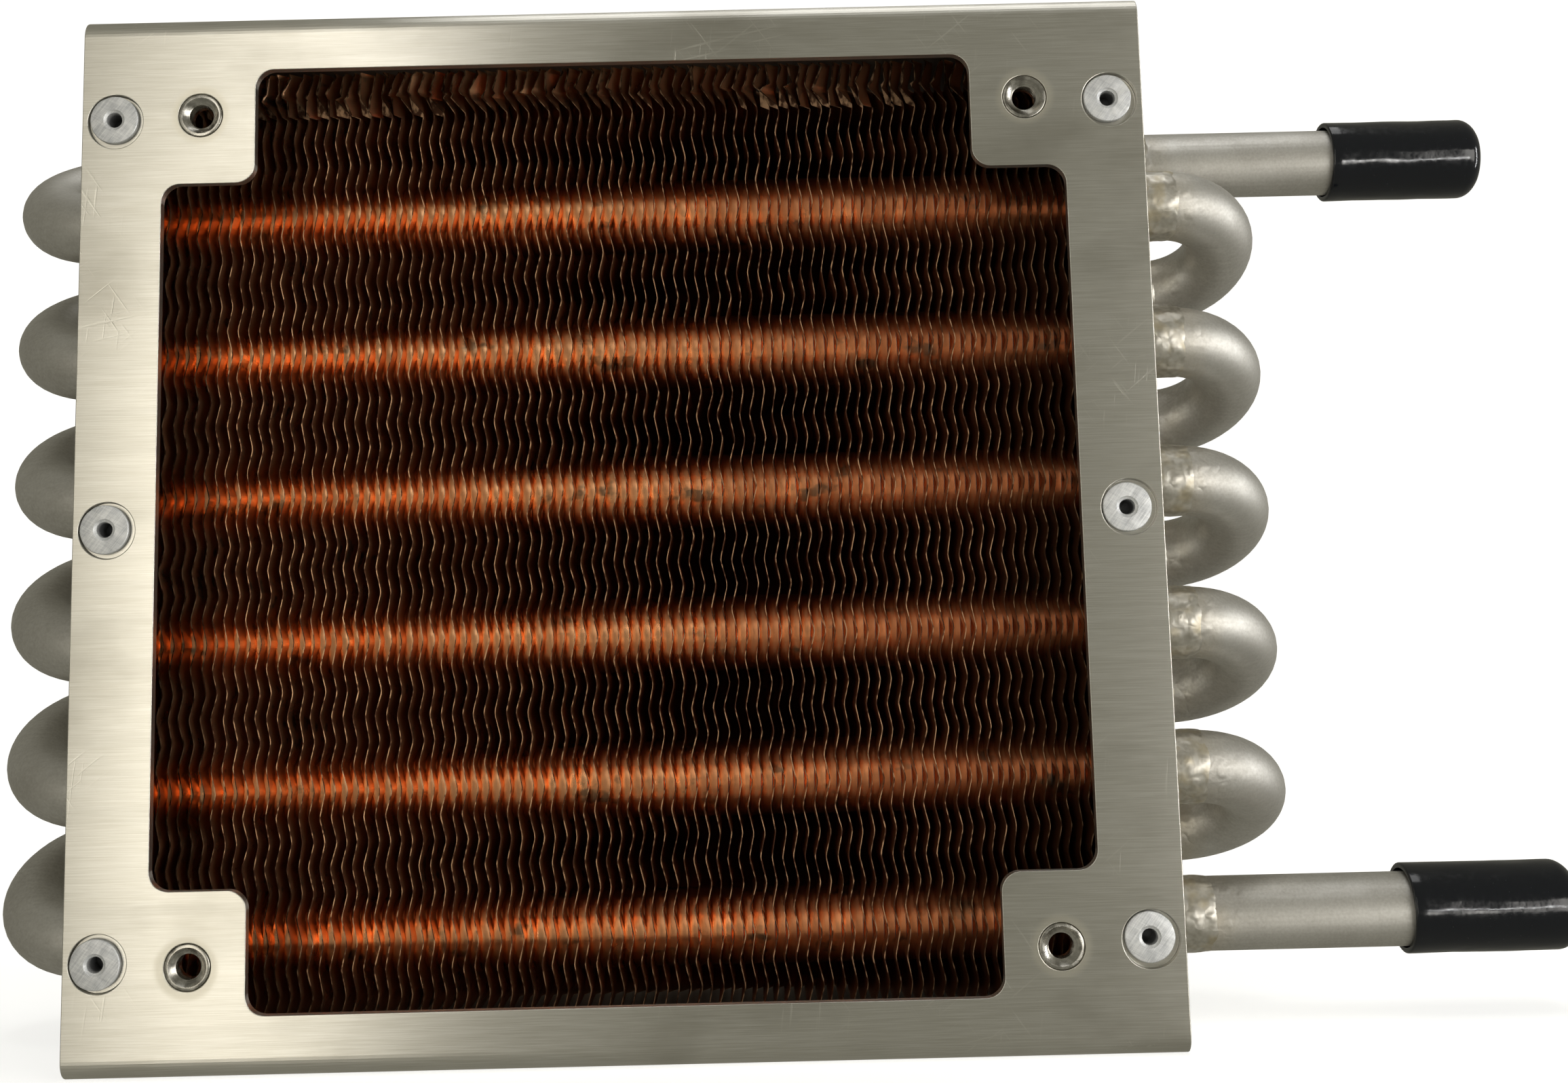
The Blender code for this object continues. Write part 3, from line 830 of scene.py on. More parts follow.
@dataclass(frozen=True)
class FiledAluminium(Finish):
    """Soft aluminium rivet heads, filed flush with the plate: bright and cold, crossed by file marks."""

    light: str = "#f4f5f6"
    dark: str = "#cdcfd2"
    # painted shade deep in the rivet recesses
    grime: str = "#3d3e40"
    face: float = 0.0  # where the heads are flush, along Y

    def dress(self, tree: NodeTree, shader: Node, coordinates: NodeSocket) -> None:
        """Feed the shader with two directions of file marks, dull patches and a painted shade that deepens
        into the recess.

        Args:
            tree: Node tree of the material.
            shader: Principled shader of the material.
            coordinates: Where the pattern is read.
        """
        marks = self.grain(tree, coordinates, (3.0, 0.12, 0.12), (0, 52, 0), detail=2)
        cross = self.grain(tree, coordinates, (2.2, 0.15, 0.15), (0, -28, 0), detail=1)
        patch = self.grain(tree, coordinates, (1.4, 1.4, 1.4), detail=3)
        worn = self.sum_of(tree, (marks, 0.4), (cross, 0.2), (patch, 0.4))
        share = add_node(tree, "MapRange", {0: worn, 1: 0.38, 2: 0.62}).outputs[0]
        filed = add_node(tree, "Mix", {0: share, 6: self.dark, 7: self.light}, data_type="RGBA").outputs[2]
        # Painted shade: the metal darkens with depth into the recess round the head.
        depth = add_node(tree, "SeparateXYZ", {0: coordinates}).outputs[1]
        recess = {0: depth, 1: self.face + 0.25 * MM, 2: self.face + 1.2 * MM, 3: 0, 4: 0.75}
        sunk = add_node(tree, "MapRange", recess).outputs[0]
        colour = add_node(tree, "Mix", {0: sunk, 6: filed, 7: self.grime}, data_type="RGBA").outputs[2]
        tree.links.new(colour, shader.inputs["Base Color"])
        roughness = add_node(tree, "MapRange", {0: worn, 1: 0.38, 2: 0.62, 3: 0.62, 4: 0.48}).outputs[0]
        tree.links.new(roughness, shader.inputs["Roughness"])
        relief = self.sum_of(tree, (marks, 1.0), (cross, 0.6), (patch, 0.8))
        raised = add_node(tree, "Bump", {"Height": relief, "Distance": 0.03 * MM, "Strength": 0.5}).outputs[0]
        tree.links.new(raised, shader.inputs["Normal"])
        shader.inputs["Metallic"].default_value = 0.6


@dataclass(frozen=True)
class PlatedSteel(Finish):
    """Turned steel with a thin zinc plating: smooth and bright, with turning rings and a little wear."""

    light: str = "#d2cfc7"
    dark: str = "#8d8a83"

    def dress(self, tree: NodeTree, shader: Node, coordinates: NodeSocket) -> None:
        """Feed the shader with cloudy plating and fine turning lines.

        Args:
            tree: Node tree of the material.
            shader: Principled shader of the material.
            coordinates: Where the pattern is read.
        """
        clouds = self.grain(tree, coordinates, (1.1, 1.1, 1.1), detail=3)
        lines = self.grain(tree, coordinates, (2.0, 0.1, 2.0), detail=1)
        mixed = self.sum_of(tree, (clouds, 0.65), (lines, 0.35))
        share = add_node(tree, "MapRange", {0: mixed, 1: 0.36, 2: 0.64}).outputs[0]
        colour = add_node(tree, "Mix", {0: share, 6: self.dark, 7: self.light}, data_type="RGBA").outputs[2]
        tree.links.new(colour, shader.inputs["Base Color"])
        roughness = add_node(tree, "MapRange", {0: clouds, 1: 0.3, 2: 0.7, 3: 0.16, 4: 0.34}).outputs[0]
        tree.links.new(roughness, shader.inputs["Roughness"])
        raised = add_node(tree, "Bump", {"Height": mixed, "Distance": 0.01 * MM, "Strength": 0.4}).outputs[0]
        tree.links.new(raised, shader.inputs["Normal"])
        shader.inputs["Metallic"].default_value = 1.0


@dataclass(frozen=True)
class DippedVinyl(Finish):
    """Black vinyl, dip moulded: a deep glossy skin that flows slightly uneven, with a few dust specks."""

    black: str = "#0b0f17"
    dust: str = "#4a4d52"

    def dress(self, tree: NodeTree, shader: Node, coordinates: NodeSocket) -> None:
        """Feed the shader with a flowing skin, faint orange peel and dust.

        Args:
            tree: Node tree of the material.
            shader: Principled shader of the material.
            coordinates: Where the pattern is read.
        """
        flow = self.grain(tree, coordinates, (6, 2.5, 2.5), detail=1)
        peel = self.grain(tree, coordinates, (0.7, 0.7, 0.7), detail=1)
        specks = self.grain(tree, coordinates, (0.25, 0.25, 0.25), detail=1)
        dust = add_node(tree, "MapRange", {0: specks, 1: 0.76, 2: 0.8, 3: 0, 4: 0.6}).outputs[0]
        colour = add_node(tree, "Mix", {0: dust, 6: self.black, 7: self.dust}, data_type="RGBA").outputs[2]
        tree.links.new(colour, shader.inputs["Base Color"])
        roughness = add_node(tree, "MapRange", {0: peel, 1: 0.3, 2: 0.7, 3: 0.1, 4: 0.19}).outputs[0]
        tree.links.new(roughness, shader.inputs["Roughness"])
        relief = self.sum_of(tree, (flow, 1.0), (peel, 0.12))
        swell = {"Height": relief, "Distance": 0.25 * MM, "Strength": 0.35}
        raised = add_node(tree, "Bump", swell).outputs[0]
        tree.links.new(raised, shader.inputs["Normal"])
        shader.inputs["IOR"].default_value = 1.53


@dataclass(frozen=True)
class StagePaper(Finish):
    """Pale seamless paper under and behind the cooler, lit through from behind so it stays near white."""

    tone: str = "#f6f6f4"
    fibre: str = "#fbfbfa"
    near: float = 0.2  # the paper glows less up to here, so that the cooler's shadow shows
    far: float = 0.7
    near_glow: float = 0.70
    far_glow: float = 0.84

    def dress(self, tree: NodeTree, shader: Node, coordinates: NodeSocket) -> None:
        """Feed the shader with the tone, its faint fibres, and a glow that lets a shadow show near by.

        Args:
            tree: Node tree of the material.
            shader: Principled shader of the material.
            coordinates: Where the pattern is read.
        """
        fibres = self.grain(tree, coordinates, (40, 40, 40), detail=3)
        share = add_node(tree, "MapRange", {0: fibres, 1: 0.3, 2: 0.7}).outputs[0]
        toned = add_node(tree, "Mix", {0: share, 6: self.tone, 7: self.fibre}, data_type="RGBA").outputs[2]
        tree.links.new(toned, shader.inputs["Base Color"])
        shader.inputs["Roughness"].default_value = 0.9
        shader.inputs["Emission Color"].default_value = (1.0, 1.0, 1.0, 1.0)
        away = add_node(tree, "VectorMath", {0: coordinates}, operation="LENGTH").outputs["Value"]
        rise = {0: away, 1: self.near, 2: self.far, 3: self.near_glow, 4: self.far_glow}
        glow = add_node(tree, "MapRange", rise).outputs[0]
        tree.links.new(glow, shader.inputs["Emission Strength"])


# ---------------------------------------------------------------- sub-assemblies


def middle(node: str) -> Vector:
    """Centre of a CAD node's box."""
    low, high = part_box(node)
    return (low + high) / 2


def row_names(side: Side) -> list[str]:
    """CAD names of the rivets down one side."""
    return [f"{side.name.lower()}_{row}_rivet" for row in ("top", "middle", "bottom")]


@dataclass
class SheetFolder:
    """Folds a sheet into a channel: a face with a bent flange on two opposite sides."""

    sheet: float = 1.5 * MM
    bend_radius: float = 2.4 * MM  # outside of the bend
    bend_steps: int = 10
    edge_rounding: float = 0.13 * MM

    def fold(self, name: str, length: float, height: float, flange: float) -> Object:
        """Fold a channel about the origin.

        Args:
            name: Name of the object.
            length: Length of the channel, along X.
            height: Outside height of the face, along Z.
            flange: Outside depth of the flanges, along +Y.

        Returns:
            The folded sheet, its face towards -Y at y = 0.
        """
        deselect_all()
        flat = height - 2 * self.bend_radius
        bpy.ops.mesh.primitive_plane_add(size=1, rotation=FACING_FRONT)
        piece = bpy.context.active_object
        piece.name = name
        piece.scale = (length, flat, 1)
        bpy.ops.object.transform_apply(location=True, rotation=True, scale=True)
        with editing(piece):
            for end in (1, -1):
                edge = end * flat / 2
                pick(piece, Part.EDGES, lambda co: abs(co.z - edge) < TOUCHING and co.y < TOUCHING)
                bpy.ops.mesh.spin(
                    steps=self.bend_steps,
                    angle=math.radians(90),
                    center=(0, self.bend_radius, edge),
                    axis=(end, 0, 0),
                )
                bpy.ops.mesh.extrude_region_move(
                    TRANSFORM_OT_translate={"value": (0, flange - self.bend_radius, 0)}
                )
            bpy.ops.mesh.select_all(action="SELECT")
            bpy.ops.mesh.remove_doubles(threshold=TOUCHING)
        self.turn_out(piece)
        modify(piece, "SOLIDIFY", thickness=self.sheet, offset=-1, use_even_offset=True)
        return piece

    @staticmethod
    def turn_out(piece: Object) -> None:
        """Make the face of an open channel point to -Y, and all the rest of it the same way round.

        Args:
            piece: Object to work on.
        """
        with editing(piece):
            bpy.ops.mesh.select_all(action="SELECT")
            bpy.ops.mesh.normals_make_consistent(inside=False)
        face = max(piece.data.polygons, key=lambda polygon: abs(polygon.normal.y) * polygon.area)
        if face.normal.y > 0:
            with editing(piece):
                bpy.ops.mesh.select_all(action="SELECT")
                bpy.ops.mesh.flip_normals()


@dataclass
class FanPlate:
    """Front plate with its window, folded back over the core, with holes for nuts and rivets."""

    folder: SheetFolder
    side_border: float = 10.2 * MM
    top_border: float = 7.2 * MM
    pad_width: float = 11.8 * MM
    pad_height: float = 14.7 * MM
    window_radius: float = 2.4 * MM
    nut_hole: float = 2.82 * MM
    rivet_recess: float = 3.5 * MM
    rivet_recess_depth: float = 0.85 * MM
    rivet_hole: float = 1.75 * MM

    def build(self, finish: Material) -> None:
        """Make the plate and hand it over.

        Args:
            finish: Its finish.
        """
        low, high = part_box("fan_plate")
        size, centre = high - low, (low + high) / 2
        plate = self.folder.fold("brushed_fan_plate", size.x, size.z, size.y)
        settle(plate, (centre.x, low.y, centre.z))
        combine(plate, self.window_tool(size, Vector((centre.x, low.y, centre.z))))
        nuts = [self.on_face(name, low.y) for name in Nuts.names()]
        rivets = [self.on_face(name, low.y) for side in Side for name in row_names(side)]
        through = 4 * self.folder.sheet
        combine(plate, add_rods("nut_drill", nuts, self.nut_hole, through, FACING_FRONT, 48))
        combine(plate, add_rods("rivet_drill", rivets, self.rivet_hole, through, FACING_FRONT, 32))
        depth = 2 * self.rivet_recess_depth
        combine(plate, add_rods("rivet_counterbore", rivets, self.rivet_recess, depth, FACING_FRONT, 48))
        soften_edges(plate, self.folder.edge_rounding)
        hand_over(plate, finish, ["fan_plate"])

    @staticmethod
    def on_face(node: str, face: float) -> Vector:
        """Centre of a fastener, on the front face."""
        centre = middle(node)
        return Vector((centre.x, face, centre.z))

    def window_tool(self, size: Vector, centre: Vector) -> Object:
        """Make the cutter for the cross-shaped window.

        Args:
            size: Size of the whole plate.
            centre: Centre of its front face.

        Returns:
            A block with the window's outline, every corner rounded.
        """
        half = Vector((size.x / 2 - self.side_border, 3 * self.folder.sheet, size.z / 2 - self.top_border))
        wide = Vector((half.x, half.y, half.z - self.pad_height))
        tall = Vector((half.x - self.pad_width, half.y, half.z))
        tool = add_box("window_tool", centre - wide, centre + wide)
        combine(tool, add_box("window_tall", centre - tall, centre + tall), "UNION")
        with editing(tool):
            bpy.ops.mesh.select_mode(type="EDGE")
            mesh = bmesh.from_edit_mesh(tool.data)
            for edge in mesh.edges:
                first, second = (v.co for v in edge.verts)
                edge.select_set(abs(first.y - second.y) > half.y)
            bmesh.update_edit_mesh(tool.data)
            bpy.ops.mesh.bevel(offset=self.window_radius, segments=10, affect="EDGES")
        return tool


@dataclass
class EndPlate:
    """Side plate that carries the tubes, with its flanges folded in front and behind."""

    folder: SheetFolder
    side: Side
    tube_hole: float = 5.02 * MM
    rivet_hole: float = 1.75 * MM

    def build(self, finish: Material, tubes: Sequence[Vector]) -> None:
        """Make the plate and hand it over.

        Args:
            finish: Its material.
            tubes: A point on the axis of each tube.
        """
        node = f"{self.side.name.lower()}_end_plate"
        low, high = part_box(node)
        size, centre = high - low, (low + high) / 2
        plate = self.folder.fold(f"brushed_{node}", size.z, size.y, size.x)
        inward = -self.side.value
        face = low.x if self.side is Side.LEFT else high.x
        # The channel's length turns to Z and its flanges point inwards.
        turned = Matrix(((0, inward, 0, face), (0, 0, inward, centre.y), (1, 0, 0, centre.z), (0, 0, 0, 1)))
        activate(plate)
        plate.matrix_world = turned
        bpy.ops.object.transform_apply(location=True, rotation=True, scale=True)
        holes = [Vector((face, tube.y, tube.z)) for tube in tubes]
        combine(plate, add_rods("tube_drill", holes, self.tube_hole, 6 * self.folder.sheet, FACING_RIGHT, 40))
        rivets = [Vector((middle(name).x, low.y, middle(name).z)) for name in row_names(self.side)]
        through = 4 * self.folder.sheet
        combine(plate, add_rods("rivet_drill", rivets, self.rivet_hole, through, FACING_FRONT, 32))
        soften_edges(plate, self.folder.edge_rounding)
        hand_over(plate, finish, [node])


@dataclass
class Rivets:
    """Blind rivets with their heads filed flush, each a hair off centre in its recess."""

    head_radius: float = 3.05 * MM
    head_depth: float = 0.75 * MM
    shank_radius: float = 1.6 * MM
    collar_radius: float = 1.35 * MM
    bore_radius: float = 0.9 * MM
    mandrel_depth: float = 3.2 * MM
    tail_radius: float = 2.0 * MM
    proud: float = 0.03 * MM
    off_centre: float = 0.3 * MM
    sides: int = 48

    def build(self, finish: Material, face: float) -> None:
        """Make the six rivets.

        Args:
            finish: Their material.
            face: Place of the plate's front face along Y.
        """
        pattern = self.pattern()
        for i, name in enumerate(name for side in Side for name in row_names(side)):
            rivet = copy_of(pattern, f"filed_{name}")
            centre = middle(name)
            turn = math.radians(125 + 17 * (i * 2 % 5))
            aside = Vector((math.cos(turn), 0, math.sin(turn))) * self.off_centre
            settle(rivet, Vector((centre.x, face, centre.z)) + aside, FACING_FRONT)
            ripple(rivet, "CLOUDS", 1.1 * MM, 0.12 * MM)
            hand_over(rivet, finish, [name])
        bpy.data.objects.remove(pattern)

    def pattern(self) -> Object:
        """Turn one rivet about +Z, its head at the top.

        Returns:
            The rivet.
        """
        tail = min(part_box("left_top_rivet")[1].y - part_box("fan_plate")[0].y, 6 * MM)
        rim = 0.16 * MM
        bore, mandrel = self.bore_radius, self.proud - self.mandrel_depth
        rings = [
            (0.02 * MM, mandrel),
            (0.45 * bore, mandrel - 0.04 * MM),
            (0.8 * bore, mandrel - 0.2 * MM),
            (bore, mandrel - 0.3 * MM),
            (bore, self.proud - 0.55 * MM),
            (bore + 0.10 * MM, self.proud - 0.18 * MM),
            (self.collar_radius - 0.12 * MM, self.proud - 0.10 * MM),
            (self.collar_radius, self.proud),
        ]
        rings += rounding((self.head_radius - rim, self.proud - rim), rim, 90, 0, 3)
        rings += [
            (self.head_radius, -self.head_depth),
            (self.shank_radius, -self.head_depth - 0.05 * MM),
            (self.shank_radius, -tail + 2.2 * MM),
            (self.tail_radius, -tail + 1.7 * MM),
            (self.tail_radius, -tail + 0.6 * MM),
            (self.shank_radius, -tail),
            (0.02 * MM, -tail),
        ]
        rivet = lathe("rivet_pattern", rings, self.sides, bored=False)
        smooth(rivet)
        return rivet


@dataclass
class Nuts:
    """Clinch nuts pressed in from behind, with a chamfered and threaded bore."""

    shank_radius: float = 2.76 * MM
    body_radius: float = 3.95 * MM
    bore_radius: float = 1.78 * MM
    thread_depth: float = 0.24 * MM
    thread_pitch: float = 25.4 / 32 * MM
    chamfer: float = 0.55 * MM
    sides: int = 48

    @staticmethod
    def names() -> list[str]:
        """CAD names of the nuts."""
        return [f"{corner}_clinch_nut" for corner in ("top_left", "top_right", "bottom_left", "bottom_right")]

    def build(self, finish: Material, plate: SheetFolder, face: float) -> None:
        """Make the four nuts.

        Args:
            finish: Their material.
            plate: Sheet that they are pressed into.
            face: Place of the plate's front face along Y.
        """
        pattern = self.pattern(plate.sheet)
        for name in self.names():
            nut = copy_of(pattern, f"plated_{name}")
            centre = middle(name)
            settle(nut, (centre.x, face, centre.z), FACING_FRONT)
            hand_over(nut, finish, [name])
        bpy.data.objects.remove(pattern)

    def pattern(self, sheet: float) -> Object:
        """Turn one nut about +Z, its shank flush with the sheet's face at the top.

        Args:
            sheet: Thickness of the sheet it is pressed into.

        Returns:
            The nut.
        """
        back = -(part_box("top_left_clinch_nut")[1].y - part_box("fan_plate")[0].y)
        flush = -0.04 * MM
        shoulder = -(sheet + 0.3 * MM)
        mouth = self.bore_radius + self.chamfer
        rings = [
            (mouth, flush),
            *rounding((self.shank_radius - 0.14 * MM, flush - 0.14 * MM), 0.14 * MM, 90, 0, 3),
            (self.shank_radius, shoulder),
            (self.body_radius - 0.2 * MM, shoulder),
            (self.body_radius, shoulder - 0.2 * MM),
            (self.body_radius, back + 0.3 * MM),
            (self.body_radius - 0.3 * MM, back),
            (self.bore_radius, back),
        ]
        turns = int((flush - self.chamfer - back) / self.thread_pitch)
        for turn in range(turns):
            root = back + (turn + 0.5) * self.thread_pitch
            rings.append((self.bore_radius, root))
            rings.append((self.bore_radius - self.thread_depth, root + 0.4 * self.thread_pitch))
        rings.append((self.bore_radius, flush - self.chamfer))
        nut = lathe("nut_pattern", rings, self.sides, bored=True)
        smooth(nut)
        return nut


@dataclass
class TubeCircuit:
    """Twelve tube runs in two staggered rows, with hairpin and return bends and an end above and below."""

    radius: float = 9.525 / 2 * MM
    wall: float = 0.9 * MM
    row_pitch: float = 16.5 * MM
    rise: float = 9.525 * MM  # between one tube and the next of the other row
    hairpins: int = 6
    sides: int = 48
    bend_steps: int = 28

    def runs(self) -> list[Vector]:
        """Point on the axis of each tube run at x = 0, from the top down.

        Returns:
            The points.
        """
        half = Vector((0, self.row_pitch / 2, self.rise / 2))
        centres = [middle(f"hairpin_tube_{i + 1}") for i in range(self.hairpins)]
        found = []
        for centre in centres:
            centre.x = 0
            found += [centre + half, centre - half]
        return found

    def build(self, finish: Material) -> None:
        """Make the hairpins, the return bends and the two straight ends.

        Args:
            finish: Its finish.
        """
        runs = self.runs()
        for i in range(self.hairpins):
            node = f"hairpin_tube_{i + 1}"
            low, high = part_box(node)
            self.u_tube(node, high.x, low.x, runs[2 * i], runs[2 * i + 1], finish)
        for i in range(self.hairpins - 1):
            node = f"return_bend_{i + 1}"
            low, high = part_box(node)
            self.u_tube(node, low.x, high.x, runs[2 * i + 1], runs[2 * i + 2], finish)
        for node, run in (("upper_tube_end", runs[0]), ("lower_tube_end", runs[-1])):
            low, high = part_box(node)
            self.straight_end(node, low.x, high.x, run, finish)

    def circle(self, name: str, x: float, run: Vector) -> Object:
        """Add the tube's outline, facing along X.

        Args:
            name: CAD node that the tube stands in for.
            x: Its place along the tubes.
            run: Point on the run's axis.

        Returns:
            The outline.
        """
        deselect_all()
        bpy.ops.mesh.primitive_circle_add(
            vertices=self.sides, radius=self.radius, location=(x, run.y, run.z), rotation=FACING_RIGHT
        )
        piece = bpy.context.active_object
        piece.name = f"pickled_{name}"
        bpy.ops.object.transform_apply(location=True, rotation=True, scale=True)
        return piece

    def thicken(self, piece: Object, inset: float) -> None:
        """Point the tube's skin outwards, give it its wall and break its sharp rims.

        Args:
            piece: Object to work on.
            inset: Width of the break on its rims, or zero for none.
        """
        with editing(piece):
            bpy.ops.mesh.select_all(action="SELECT")
            bpy.ops.mesh.remove_doubles(threshold=TOUCHING)
            bpy.ops.mesh.normals_make_consistent(inside=False)
        modify(piece, "SOLIDIFY", thickness=self.wall, offset=-1, use_even_offset=True)
        if inset:
            soften_edges(piece, inset)
        smooth(piece)

    def u_tube(
        self, node: str, start: float, reach: float, first: Vector, second: Vector, finish: Material
    ) -> None:
        """Extrude a leg, spin the bend and extrude the leg back.

        Args:
            node: CAD node that the tube stands for.
            start: Place of both open ends along X.
            reach: Outermost place of the bend along X.
            first: Axis point of the first run.
            second: Axis point of the second run.
            finish: Material of the tube.
        """
        outwards = math.copysign(1, reach - start)
        bend_radius = (first - second).length / 2
        turn_x = reach - outwards * (bend_radius + self.radius)
        hub = (first + second) / 2
        axis = Vector((outwards, 0, 0)).cross((first - second).normalized())
        piece = self.circle(node, start, first)
        with editing(piece):
            bpy.ops.mesh.select_all(action="SELECT")
            bpy.ops.mesh.extrude_region_move(TRANSFORM_OT_translate={"value": (turn_x - start, 0, 0)})
            bpy.ops.mesh.spin(steps=self.bend_steps, angle=math.pi, center=(turn_x, hub.y, hub.z), axis=axis)
            bpy.ops.mesh.extrude_region_move(TRANSFORM_OT_translate={"value": (start - turn_x, 0, 0)})
        self.thicken(piece, 0)
        hand_over(piece, finish, [node])

    def straight_end(self, node: str, start: float, tip: float, run: Vector, finish: Material) -> None:
        """Extrude one straight tube end, cut square and deburred at its tip.

        Args:
            node: CAD node that it replaces.
            start: Where it starts along X.
            tip: Where it ends along X.
            run: Point on the run's axis.
            finish: Material of the tube.
        """
        piece = self.circle(node, start, run)
        with editing(piece):
            bpy.ops.mesh.select_all(action="SELECT")
            bpy.ops.mesh.extrude_region_move(TRANSFORM_OT_translate={"value": (tip - start, 0, 0)})
        self.thicken(piece, 0.12 * MM)
        hand_over(piece, finish, [node])


@dataclass
class Welds:
    """Fusion welds round the tube joints: low bands of overlapping ripples."""

    inner_radius: float = 4.62 * MM
    outer_radius: float = 4.90 * MM
    length: float = 4.8 * MM
    rings: int = 14
    sides: int = 64
    ripple_size: float = 2.2 * MM
    ripple_height: float = 0.20 * MM

    def build(self, finish: Material, runs: Sequence[Vector]) -> None:
        """Make a weld for each tube run, each with lumps of its own.

        Args:
            finish: Their material.
            runs: A point on the axis of each tube, from the top down.
        """
        pattern = self.pattern()
        for i, run in enumerate(runs):
            node = f"weld_bead_{i + 1:02d}"
            weld = copy_of(pattern, f"rippled_{node}")
            settle(weld, (middle(node).x, run.y, run.z), FACING_RIGHT)
            ripple(weld, "VORONOI", self.ripple_size, self.ripple_height)
            ripple(weld, "CLOUDS", 2.4 * MM, 0.22 * MM)
            smooth(weld, 60)
            hand_over(weld, finish, [node])
        bpy.data.objects.remove(pattern)

    def pattern(self) -> Object:
        """Turn a low band about +Z whose crown sinks into the tube at both rims.

        Returns:
            The weld.
        """
        outline = []
        for i in range(self.rings + 1):
            across = 2 * i / self.rings - 1
            crown = (1 - across * across) ** 0.5
            radius = self.inner_radius + (self.outer_radius - self.inner_radius) * crown
            outline.append((radius, self.length / 2 * across))
        inside = self.inner_radius - 0.25 * MM
        outline += [(inside, self.length / 2), (inside, -self.length / 2)]
        return lathe("weld_pattern", outline, self.sides, bored=True)


@dataclass
class Cap:
    """Push-on cap with a rounded end, dipped in vinyl."""

    node: str
    wall: float = 0.65 * MM
    floor: float = 1.4 * MM
    end_rounding: float = 2.3 * MM
    rim_rounding: float = 0.28 * MM
    sides: int = 64
    side_rings: int = 14

    def build(self, finish: Material) -> None:
        """Make the cap and let it ride on its own body.

        Args:
            finish: Its finish.
        """
        low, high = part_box(self.node)
        centre = (low + high) / 2
        length, outer = high.x - low.x, (high.y - low.y) / 2
        bore = outer - self.wall
        crown = outer - self.end_rounding
        rings = [(0.04 * MM, length), (crown * 0.5, length)]
        rings += rounding((crown, length - self.end_rounding), self.end_rounding, 90, 0, 9)
        side = length - self.end_rounding - self.rim_rounding
        falls = [side * (1 - i / self.side_rings) for i in range(1, self.side_rings)]
        rings += [(outer, self.rim_rounding + fall) for fall in falls]
        rings += rounding((outer - self.rim_rounding, self.rim_rounding), self.rim_rounding, 0, -90, 3)
        rings += [(bore, 0.05 * MM), (bore, length - self.floor), (0.04 * MM, length - self.floor)]
        cap = lathe(f"dipped_{self.node}", rings, self.sides, bored=False)
        settle(cap, (low.x, centre.y, centre.z), FACING_RIGHT)
        ripple(cap, "CLOUDS", 5 * MM, 0.16 * MM)
        smooth(cap, 50)
        hand_over(cap, finish, [self.node], body=self.node)


